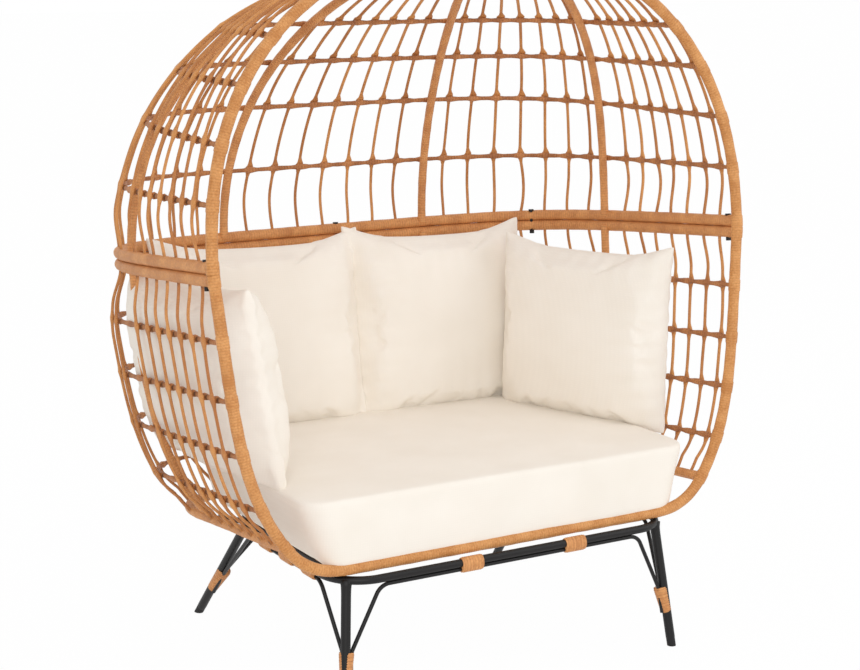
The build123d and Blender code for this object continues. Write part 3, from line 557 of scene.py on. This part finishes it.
# Seam rails, bottom rail and crown ring
for name, z, radius in (
    ("upper_seam_rail", SEAM_HEIGHT + RAIL_STEP, RAIL_LOOK),
    ("lower_seam_rail", SEAM_HEIGHT - RAIL_STEP, RAIL_LOOK),
    ("bottom_rail", BOTTOM_RAIL, RAIL_RADIUS),
    ("crown_ring", float(dome_height(CROWN_SHARE)), RIB_RADIUS),
):
    path, out, _ = level(z, 0.0)
    wound(f"{name}_wound", path, out, radius, rail_winding, [name], pitch=0.006, sides=14)


def dome_levels(low, high, count):
    """Heights up the dome that are even along its curve's turn."""
    a = math.asin(((low - SEAM_HEIGHT) / DOME_RISE) ** (1 / bend))
    b = math.asin(((high - SEAM_HEIGHT) / DOME_RISE) ** (1 / bend))
    return SEAM_HEIGHT + DOME_RISE * np.sin(np.linspace(a, b, count)) ** bend


# Ribs, inside the bands
upper_z = dome_levels(SEAM_HEIGHT + RAIL_STEP, float(dome_height(CROWN_SHARE + 0.004)), 120)
lower_z = np.linspace(SEAM_HEIGHT - RAIL_STEP, BOTTOM_RAIL, 120)
for name, t in RIBS.items():
    for half_name, z in (("upper", upper_z), ("lower", lower_z)):
        path = cage(np.full_like(z, t), z, np.full_like(z, RIB_OFFSET))
        out = outward(np.full_like(z, t), z)
        node = f"{half_name}_rib_{name}"
        wound(f"{node}_wound", path, out, RIB_RADIUS, rail_winding, [node], pitch=0.0064, sides=12)

# Strands: canes that flare into a flat diamond where they are bound to a band
rng = np.random.default_rng(7)


def strand_panel(node, t, z, knots, lifts, offset, bows):
    """Canes up the cage at angles t: each bows sideways between bands, and widens to a diamond at each knot."""
    order = np.argsort(z)
    heights = knots + lifts * (plan(t)[1] / SEAM_DEPTH)[:, None]
    size = rng.normal(0, 1, (len(t), len(knots) + 1)) * bows
    shift, flare, web = (np.zeros((len(t), len(z))) for _ in range(3))
    t = t[:, None]
    run = length_along(cage(t, z[None], offset[None]))
    for i, row in enumerate(heights):
        edges = np.sort(np.concatenate([[z.min()], row, [z.max()]]))
        span = np.clip(np.searchsorted(edges, z, side="right") - 1, 0, len(edges) - 2)
        within = (z - edges[span]) / (edges[span + 1] - edges[span])
        shift[i] = size[i, span] * np.sin(np.pi * within**0.8)
        for at in np.interp(row, z[order], run[i][order]):
            near = np.clip(1 - np.abs(run[i] - at) / KNOT_REACH, 0, 1)
            flare[i] = np.maximum(flare[i], near)
            web[i] = np.maximum(web[i], near * (z > z[np.abs(run[i] - at).argmin()]))
    shift = shift - KNOT_SKEW * web**1.5
    place = cage(t, z[None], offset[None]) + lean_back(plan_heading(t)) * shift[..., None]
    wide = CANE_HALF_WIDTH + KNOT_SPREAD * flare**1.35
    deep = CANE_HALF_DEPTH + KNOT_DEPTH * flare**2
    # Painted shade in the slot where each cane meets a rail or ring, about 12 mm from either end
    ends = np.minimum(run, run[:, -1:] - run)
    slot_shade = 0.75 * np.exp(-(((ends - 0.0125) / 0.0028) ** 2))
    points, faces = swept(place, outward(t, z[None]), wide, deep, 8)
    tone = rng.uniform(-0.2, 0.2, (len(t), 1)) + 0.14 * flare
    wind = attribute_for(run, slot_shade, np.broadcast_to(tone, run.shape), 8)
    piece(f"{node}_canes", points, faces, strand_cane, "frame", [node], wind)


strand_top = dome_levels(SEAM_HEIGHT + RAIL_STEP, float(dome_height(CROWN_SHARE + 0.012)), 150)
rise_share = eased((strand_top - SEAM_HEIGHT - 0.014) / 0.09)
top_share = eased((strand_top[-1] - strand_top) / (0.9 * (strand_top[-1] - UPPER_BANDS[-1])))
upper_offset = STRAND_OFFSET * np.minimum(rise_share, top_share)
strand_low = np.linspace(SEAM_HEIGHT - RAIL_STEP, BOTTOM_RAIL, 130)
fall_share = eased((SEAM_HEIGHT - 0.014 - strand_low) / 0.08)
foot_share = eased((strand_low - BOTTOM_RAIL - 0.008) / 0.06)
lower_offset = STRAND_OFFSET * np.minimum(fall_share, np.maximum(foot_share, 0.35))
for name, angles in STRAND_ANGLES.items():
    strand_panel(f"upper_strands_{name}", angles, strand_top, UPPER_BANDS, UPPER_LIFTS, upper_offset, UPPER_BOWS)
    strand_panel(f"lower_strands_{name}", angles, strand_low, LOWER_BANDS, LOWER_LIFTS, lower_offset, LOWER_BOWS)

# Bands: bound canes that swell at every crossing, with painted shade in a slot either side of it
for group, heights, lifts in (("upper", UPPER_BANDS, UPPER_LIFTS), ("lower", LOWER_BANDS, LOWER_LIFTS)):
    for number, (z, lift) in enumerate(zip(heights, lifts), 1):
        path, out, t = level(z, BAND_OFFSET, lift, spacing=0.0026)
        run = length_along(path)
        crossing = np.interp(np.sort(CROSSINGS), t, run)
        ribs = np.interp(np.sort(np.array(list(RIBS.values()))), t, run)
        gap = np.abs(run[:, None] - crossing[None]).min(1)
        rib_gap = np.abs(run[:, None] - ribs[None]).min(1)
        swell = np.clip(1 - gap / BAND_SWELL_REACH, 0, 1) ** 1.1
        swell = np.maximum(swell, np.clip(1 - rib_gap / RIB_SWELL_REACH, 0, 1))
        wave = 0.0005 * np.sin(run * 190 + number) * np.sin(run * 47)
        tall = BAND_HALF_HEIGHT + BAND_SWELL * swell + wave
        deep = BAND_HALF_DEPTH + BAND_SWELL_DEPTH * swell
        # Painted shade in the slots either side of each crossing
        slot_shade = np.exp(-(((gap - SLOT_SHADE_PLACE) / SLOT_SHADE_WIDTH) ** 2))
        tone = 0.25 * swell - 0.12 + 0.10 * np.sin(run * 130)
        points, faces = swept(path[None], out[None], tall[None], deep[None], 10)
        wind = attribute_for(run[None], slot_shade[None], tone[None], 10)
        node = f"{group}_band_{number}"
        piece(f"{node}_bound", points, faces, band_binding, "frame", [node], wind)

# Wound ties on the ring and tapered wraps on the legs

def sleeves(node, paths, out, wide, deep):
    """Short wound sleeves: an ellipse carried along each path, rippled by the pitch and softened at the ends."""
    run = length_along(paths)
    whole = run[:, -1:]
    ends = np.sqrt(eased(np.minimum(run, whole - run) / 0.004) * 0.12 + 0.88)
    ripple = 0.0004 * np.abs(np.cos(np.pi * run / SLEEVE_PITCH))
    points, faces = swept(paths, out, wide * ends + ripple, deep * ends + ripple, 24, dome=0.0)
    tone = 0.12 * np.sin(run * 700 + np.arange(len(paths))[:, None])
    wind = attribute_for(run, np.zeros_like(run), tone, 24)
    piece(f"{node}_wound", points, faces, rail_winding, "frame", [node], wind)


tie_run = np.linspace(-TIE_HALF_LENGTH, TIE_HALF_LENGTH, TIE_STATIONS)
tie_middle = np.full(TIE_STATIONS, RING_HEIGHT - TIE_DROP)
ties = []
for y in (FRONT_Y + RING_FRONT, FRONT_Y + RING_BACK):
    ties += [np.stack([x + tie_run, np.full(TIE_STATIONS, y), tie_middle], -1) for x in FRONT_TIES]
for x in (-RING_HALF_WIDTH, RING_HALF_WIDTH):
    ties += [np.stack([np.full(TIE_STATIONS, x), FRONT_Y + y + tie_run, tie_middle], -1) for y in SIDE_TIES]
ties = np.array(ties)
upright = np.broadcast_to([0.0, 0.0, 1.0], ties.shape)
sleeves("ring_ties", ties, upright, TIE_HALF_WIDTH, TIE_HALF_HEIGHT)


def leg_line(name, part):
    """Points down the middle of a leg: 0 is at the ring, 1 at the floor."""
    side, y, splay = LEGS[name]
    top = np.array([side * LEG_X, y, RING_HEIGHT])
    return top + np.array([side * LEG_SPREAD, splay, -RING_HEIGHT]) * part[:, None]


# Wraps take in the leg and the brace rod beside it, so they lie a little inwards at the top
wraps = []
wrap_part = (RING_HEIGHT - np.linspace(WRAP_TOP, WRAP_BOTTOM, WRAP_STATIONS)) / RING_HEIGHT
for name in ("leg_front_left", "leg_back_left", "leg_front_right", "leg_back_right"):
    side, _, splay = LEGS[name]
    inward = WRAP_INSET * np.array([-side, -np.sign(splay), 0.0])
    wraps.append(leg_line(name, wrap_part) + inward * np.linspace(1, 0.2, WRAP_STATIONS)[:, None])
wraps = np.array(wraps)
taper = np.linspace(WRAP_TOP_RADIUS, WRAP_BOTTOM_RADIUS, WRAP_STATIONS)[None]
sleeves("leg_wraps", wraps, np.broadcast_to([0.0, 1.0, 0.0], wraps.shape), taper, taper)

# Legs: tubes with their coat, a little fuller than the bare steel, with a weld at the ring and a rounded foot
round_part = LEG_ROUND_START + 0.035 * np.sin(np.linspace(0.1, np.pi / 2, 8))
leg_part = np.concatenate([np.linspace(0.0, LEG_ROUND_START, 24), round_part])
foot = np.sqrt(np.clip(1 - ((leg_part - LEG_ROUND_START) / LEG_ROUND_LENGTH) ** 2, 0.01, 1))
leg_thick = LEG_LOOK * np.where(leg_part > LEG_ROUND_START, foot, 1.0)
leg_thick = (leg_thick + 0.003 * np.exp(-leg_part / 0.03))[None]
for name in LEGS:
    line = leg_line(name, leg_part)[None]
    points, faces = swept(line, np.broadcast_to([0.0, 1.0, 0.0], line.shape), leg_thick, leg_thick, 20)
    piece(f"{name}_coated", points, faces, powder_coat, "frame", [name])

# CAD nodes that keep their shape
for material, names in (
    (powder_coat, ["base_ring", "seat_frame", "basket_struts"]),
    (powder_coat, ["brace_front", "brace_back", "brace_left", "brace_right"]),
    (black_oxide, ["seam_bolts", "seam_nuts", "deck_bolts"]),
    (foot_rubber, ["foot_caps"]),
    (rail_winding, ["seat_slats"]),
):
    for name in names:
        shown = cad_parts[name]
        shown.data.materials.clear()
        shown.data.materials.append(material)

# Cushions

def merged(name, points, faces):
    """Mesh object of a closed form, with touching edges joined."""
    mesh = bpy.data.meshes.new(name)
    mesh.from_pydata(points.tolist(), [], faces)
    shape = bmesh.new()
    shape.from_mesh(mesh)
    bmesh.ops.remove_doubles(shape, verts=shape.verts, dist=1e-5)
    bmesh.ops.recalc_face_normals(shape, faces=shape.faces)
    shape.to_mesh(mesh)
    shape.free()
    obj = bpy.data.objects.new(name, mesh)
    bpy.context.scene.collection.objects.link(obj)
    return obj


def grid_faces(rows, columns, wrap=False):
    """Quads of a grid of points, closed round its columns if asked."""
    last = columns if wrap else columns - 1
    r, c = np.meshgrid(np.arange(rows - 1), np.arange(last), indexing="ij")
    k = (c + 1) % columns
    here, above = r * columns, (r + 1) * columns
    return np.stack([here + c, here + k, above + k, above + c], -1).reshape(-1, 4)


def pillow_form():
    """Pillow on its own plane: two sheets over a square, most drawn in at the top, thickness ((1-u2)(1-v2))^0.28."""
    count = 57
    line = np.sin(np.linspace(-np.pi / 2, np.pi / 2, count))
    u, v = np.meshgrid(line, line, indexing="ij")
    x = PILLOW_HALF * u * (1 - 0.4 * PILLOW_FORM_DRAW * (1 - v**2))
    draw = np.where(v > 0, PILLOW_FORM_DRAW, 0.1 * PILLOW_FORM_DRAW)
    y = PILLOW_HALF * v * (1 - draw * (1 - u**2))
    w = PILLOW_FORM_THICK * ((1 - u**2) * (1 - v**2)) ** 0.28
    front, back = np.stack([x, y, w], -1).reshape(-1, 3), np.stack([x, y, -w], -1).reshape(-1, 3)
    quads = grid_faces(count, count)
    return np.concatenate([front, back]), quads.tolist() + (quads[:, ::-1] + count * count).tolist()


def puffed(obj):
    """Fills a closed cover by cloth simulation: remesh, a few frames of pressure without gravity, movement capped."""
    bpy.context.view_layer.objects.active = obj
    remesh = obj.modifiers.new("Remesh", "REMESH")
    remesh.mode = "VOXEL"
    remesh.voxel_size = CLOTH_VOXEL
    with bpy.context.temp_override(object=obj, active_object=obj, selected_objects=[obj]):
        bpy.ops.object.modifier_apply(modifier="Remesh")
    start = np.empty(len(obj.data.vertices) * 3, np.float32)
    obj.data.vertices.foreach_get("co", start)
    cloth = obj.modifiers.new("Cloth", "CLOTH")
    cloth.settings.use_pressure = True
    cloth.settings.uniform_pressure_force = CLOTH_PRESSURE
    cloth.settings.effector_weights.gravity = 0
    cloth.settings.tension_stiffness = 15
    cloth.settings.bending_stiffness = 0.4
    cloth.settings.mass = 0.3
    cloth.point_cache.frame_start = 1
    cloth.point_cache.frame_end = CLOTH_FRAMES
    for number in range(1, CLOTH_FRAMES + 1):
        bpy.context.scene.frame_set(number)
    shaped = bpy.data.meshes.new_from_object(obj.evaluated_get(bpy.context.evaluated_depsgraph_get()))
    end = np.empty(len(shaped.vertices) * 3, np.float32)
    shaped.vertices.foreach_get("co", end)
    obj.modifiers.remove(cloth)
    bpy.context.scene.frame_set(1)
    move = (end - start).reshape(-1, 3)
    size = np.linalg.norm(move, axis=1, keepdims=True)
    held = start.reshape(-1, 3) + move * np.minimum(1, CLOTH_MOVE_LIMIT / np.maximum(size, 1e-9))
    obj.data.vertices.foreach_set("co", held.astype(np.float32).ravel())
    obj.data.update()
    return obj


def noise3(p, seed, scale):
    """Smooth noise from a few seeded sine waves in random directions."""
    waves = np.random.default_rng(seed)
    total = np.zeros(len(p))
    for _ in range(6):
        heading = unit(waves.normal(size=3))
        total += np.sin(p @ heading * scale * waves.uniform(0.6, 1.5) + waves.uniform(0, 6.28))
    return total / 6


def finished(obj, change, place, cover_nodes, body):
    points = np.empty(len(obj.data.vertices) * 3)
    obj.data.vertices.foreach_get("co", points)
    points = change(points.reshape(-1, 3))
    matrix = np.array(place)
    points = points @ matrix[:3, :3].T + matrix[:3, 3]
    obj.data.vertices.foreach_set("co", points.astype(np.float32).ravel())
    obj.data.update()
    obj.data.shade_smooth()
    obj.data.materials.clear()
    obj.data.materials.append(cover_cloth)
    smooth = obj.modifiers.new("Subdivision", "SUBSURF")
    smooth.levels = smooth.render_levels = 1
    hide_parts(*cover_nodes)
    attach(obj, body)
    return obj


def pillow_change(seed, wide, tall, drops, thick, ears):
    """Seam pinched at the rim, puckers square to it that fade inwards, slow dents, and a top that has slumped.

    wide and tall scale its sides, drops are the slumps of the two top corners, thick is half its thickness,
    and ears is how far the top corners stand out.
    """
    half = PILLOW_HALF

    def change(p):
        p = p * np.array([half * wide, half, thick]) / np.abs(p).max(0)
        x, y, w = p.T
        edge = half - np.maximum(np.abs(x), np.abs(y))
        along = np.where(np.abs(x) > np.abs(y), y, x)
        fade = np.exp(-np.clip(edge, 0, 1) / 0.045)
        phase = noise3(p * np.array([1, 1, 0]), seed, 26) * 3
        pucker = np.sin(along * 2 * np.pi / 0.040 + phase) * (0.5 + 0.5 * noise3(p, seed + 1, 19))
        dent = noise3(p, seed + 2, 13) * 0.004
        lift = np.sign(w) * np.clip(np.abs(w) / 0.02, 0, 1)
        pinch = 1 - 0.4 * np.exp(-((edge / 0.014) ** 2))
        w = w * pinch + lift * (pucker * fade * 0.0045 + dent * (1 - fade))
        drop = drops[0] + (drops[1] - drops[0]) * (x / half + 1) / 2
        ear = 1 + np.where(y > 0, ears, 0.012) * (x * y / half**2) ** 4
        x, y = x * ear, y * ear
        # The sides and the foot are let out again between the corners, where the filling drew them in
        side_out = 0.010 * (1 - np.clip(y / half, -1, 1) ** 2) * eased((np.abs(x) / half - 0.6) / 0.4)
        x = x + np.sign(x) * side_out
        y = y - 0.012 * (1 - np.clip(x / half, -1, 1) ** 2) * eased((-y / half - 0.6) / 0.4)
        y = y * tall - drop * eased((y / half + 0.2) / 1.2)
        return np.stack([x, y, w], -1)
    return change


def pillow_axes(yaw, lean, side):
    """Level and upright directions of a pillow that faces the cabin, from angles in degrees.

    yaw turns it from square to the side wall, and lean tips it outwards.
    """
    yaw, lean = math.radians(yaw), math.radians(lean)
    out = np.array([side * math.cos(yaw), math.sin(yaw), 0.0])
    up = out * math.sin(lean) + np.array([0, 0, math.cos(lean)])
    return np.array([-out[1], out[0], 0.0]), up


# Each pillow: its directions, its middle, and its own wide, tall, drops, thick and ears
back_rise = SEAT_TOP - PILLOW_SINK + PILLOW_HALF * math.cos(BACK_LEAN)
back_y = FRONT_Y + BACK_PILLOW_DEPTH + PILLOW_HALF * math.sin(BACK_LEAN)
back_axes = np.array([1.0, 0, 0]), np.array([0, math.sin(BACK_LEAN), math.cos(BACK_LEAN)])
pillows = {
    "back_pillow_left": (
        pillow_axes(85.5, 10, 1), [-0.228, 0.244, back_rise], (1.09, 1.02, (0.008, 0.002), 0.070, 0.045)
    ),
    "back_pillow_right": (
        back_axes, [PILLOW_HALF - 0.006, back_y, back_rise], (1.05, 1.02, (0.004, 0.014), 0.070, 0.045)
    ),
    "side_pillow_left": (
        pillow_axes(-6, 10, -1), [-0.480, -0.036, 0.606], (1.07, 0.97, (0.010, 0.006), 0.080, 0.0)
    ),
    "side_pillow_right": (
        pillow_axes(21, 2, 1), [0.408, -0.038, 0.594], (1.01, 0.95, (0.004, 0.008), 0.070, 0.045)
    ),
}
for number, (name, ((across, up), middle, looks)) in enumerate(pillows.items()):
    pillow = merged(f"{name}_cushion", *pillow_form())
    puffed(pillow)
    place = np.eye(4)
    place[:3, 0], place[:3, 1], place[:3, 2], place[:3, 3] = across, up, np.cross(across, up), middle
    nodes = [f"{name}_cover", f"{name}_fill"]
    finished(pillow, pillow_change(11 + 7 * number, *looks), place, nodes, name)


def seat_outline(count):
    """Outline of the seat cushion: straight front and sides, small front corners and wide back corners, as arcs."""
    w, front, back, small, large = 0.4265, -0.049, 0.554, 0.05, 0.16
    corners = [
        (w - small, front + small, small, -90),
        (w - large, back - large, large, 0),
        (large - w, back - large, large, 90),
        (small - w, front + small, small, 180),
    ]
    turns = np.radians(np.linspace(0, 90, 24))
    arcs = []
    for x, y, radius, start in corners:
        heading = turns + math.radians(start)
        arcs.append(np.stack([x + radius * np.cos(heading), y + radius * np.sin(heading)], -1))
    points = np.concatenate(arcs + [arcs[0][:1]])
    run = length_along(points)
    even = np.linspace(0, run[-1], count + 1)[:-1]
    return np.stack([np.interp(even, run, points[:, i]) for i in range(2)], -1)


# Section of the seat cushion from the middle of its foot to the middle of its top:
# share of the half width, share of the half depth, and height. Its sides draw in towards the foot.
seat_section = np.array([
    (0.0, 0.0, 0.0), (0.45, 0.45, 0.0), (0.90, 0.97, 0.0), (0.924, 0.990, 0.001), (0.930, 0.998, 0.005),
    (0.934, 1.0, 0.012), (0.955, 1.0, 0.045), (0.985, 1.0, 0.088), (0.995, 1.0, 0.101), (0.998, 0.999, 0.108),
    (0.994, 0.993, 0.1135), (0.982, 0.982, 0.1165), (0.955, 0.96, 0.118),
    (0.80, 0.80, 0.120), (0.50, 0.50, 0.121), (0.0, 0.0, 0.122),
])
outline = seat_outline(220)
seat_middle = np.array([0.0, 0.25])
seat_run = length_along(seat_section * np.array([0.43, 0.3, 1.0]))
# Stations are even over the whole section, with more of them up the side and round its edges
side_run = seat_run[2] + np.linspace(0, seat_run[12] - seat_run[2], 44)
seat_even = np.unique(np.concatenate([np.linspace(0, seat_run[-1], 40), side_run]))
seat_profile = np.stack([np.interp(seat_even, seat_run, seat_section[:, i]) for i in range(3)], -1)
ring = seat_middle + (outline - seat_middle)[None] * seat_profile[:, None, :2]
heights = np.broadcast_to(seat_profile[:, 2][:, None, None], ring.shape[:2] + (1,))
seat_points = np.concatenate([ring, heights], -1).reshape(-1, 3)
seat = merged("seat_cushion_box", seat_points, grid_faces(len(seat_profile), len(outline), wrap=True).tolist())



def seat_change(p):
    """Set to its size, with shallow dents, a ridge along the top seam, creases at the sides, and a lip on the hoop."""
    low, high = p.min(0), p.max(0)
    p = SEAT_LOW + (p - low) / (high - low) * (SEAT_HIGH - SEAT_LOW)
    x, y, z = p.T
    wall = np.exp(-((z - 0.105) / 0.006) ** 2)
    z = z + noise3(p, 91, 9) * 0.0025 * np.clip(z / 0.1, 0, 1)
    lip = eased((SEAT_LIP_START - y) / 0.024) * eased((0.060 - z) / 0.045)
    z = z - SEAT_LIP_SAG * lip
    y = y + np.where(y < 0.0, noise3(p, 92, 16) * 0.0022, 0.0)
    x = x + np.sign(x) * np.where(np.abs(x) > 0.38, noise3(p, 93, 18) * 0.002 - wall * 0.0012, 0.0)
    return np.stack([x, y, z], -1)


place = np.eye(4)
place[:3, 3] = [0, FRONT_Y, SEAT_BOTTOM]
finished(seat, seat_change, place, ["seat_cushion_cover", "seat_cushion_foam"], "seat")

# Stage, light and camera

scene = bpy.context.scene
floor_mesh = bpy.data.meshes.new("floor")
floor_mesh.from_pydata([(-40, -40, 0), (40, -40, 0), (40, 40, 0), (-40, 40, 0)], [], [(0, 1, 2, 3)])
floor = bpy.data.objects.new("floor", floor_mesh)
scene.collection.objects.link(floor)


def seen_directly(tree):
    """1 for rays from the camera and from gloss, which meet plain white, and 0 for those that light the chair."""
    rays = add(tree, "ShaderNodeLightPath")
    kinds = {0: rays.outputs["Is Camera Ray"], 1: rays.outputs["Is Glossy Ray"]}
    return add(tree, "ShaderNodeMath", kinds, operation="MAXIMUM").outputs[0]


# Floor: matt white paint, almost wholly lit for the camera, so that only a trace of the shadow stays
floor_paint, tree, shader, _ = blank("white_floor_paint")
shader.inputs["Base Color"].default_value = linear("#F4F4F4")
shader.inputs["Roughness"].default_value = 0.9
most = add(tree, "ShaderNodeMath", {0: seen_directly(tree), 1: 0.98}, operation="MULTIPLY")
glow = add(tree, "ShaderNodeEmission", {"Color": (1, 1, 1, 1), "Strength": 1.0})
mixed = add(tree, "ShaderNodeMixShader", {0: most.outputs[0], 1: shader.outputs[0], 2: glow.outputs[0]})
tree.links.new(mixed.outputs[0], tree.nodes["Material Output"].inputs["Surface"])
floor_mesh.materials.append(floor_paint)

# World: even white light, a little weaker on the chair than it looks to the camera
world = bpy.data.worlds.new("studio")
scene.world = world
world.use_nodes = True
tree = world.node_tree
power = add(tree, "ShaderNodeMapRange", {0: seen_directly(tree), 3: 0.745, 4: 1.0})
tree.links.new(power.outputs[0], tree.nodes["Background"].inputs["Strength"])
tree.nodes["Background"].inputs["Color"].default_value = (1, 1, 1, 1)


def facing(right, back, spot):
    """Matrix of a lamp or camera that looks along -back from a spot."""
    turned = np.eye(4)
    turned[:3, 0], turned[:3, 1], turned[:3, 2], turned[:3, 3] = right, np.cross(back, right), back, spot
    return Matrix(turned.tolist())


def softbox(name, spot, aim, size, watts):
    """Large square lamp that faces a point."""
    lamp = bpy.data.lights.new(name, "AREA")
    lamp.size = size
    lamp.energy = watts
    obj = bpy.data.objects.new(name, lamp)
    back = unit(np.array(spot, float) - np.array(aim, float))
    obj.matrix_world = facing(unit(np.cross([0, 0, 1.0], back)), back, spot)
    scene.collection.objects.link(obj)


softbox("key_softbox", (-2.2, -3.9, 1.9), (0, 0, 0.6), 2.4, 50)
softbox("fill_softbox", (2.8, -2.4, 2.2), (0, 0, 0.7), 2.4, 26)
softbox("top_softbox", (0, 0.4, 3.8), (0, 0, 0.7), 2.6, 14)

camera = bpy.data.cameras.new("camera")
camera.sensor_width = SENSOR_WIDTH
camera.sensor_fit = "HORIZONTAL"
camera.lens = FOCAL_PIXELS / PHOTO_WIDTH * SENSOR_WIDTH
camera.dof.use_dof = False
viewer = bpy.data.objects.new("camera", camera)
level_back = math.cos(CAMERA_ELEVATION)
back = np.array([
    math.sin(CAMERA_AZIMUTH) * level_back, -math.cos(CAMERA_AZIMUTH) * level_back, math.sin(CAMERA_ELEVATION)
])
right = np.array([math.cos(CAMERA_AZIMUTH), math.sin(CAMERA_AZIMUTH), 0.0])
viewer.matrix_world = facing(right, back, CAMERA_AIM + back * CAMERA_DISTANCE)
scene.collection.objects.link(viewer)
scene.camera = viewer
scene.view_settings.view_transform = "Standard"
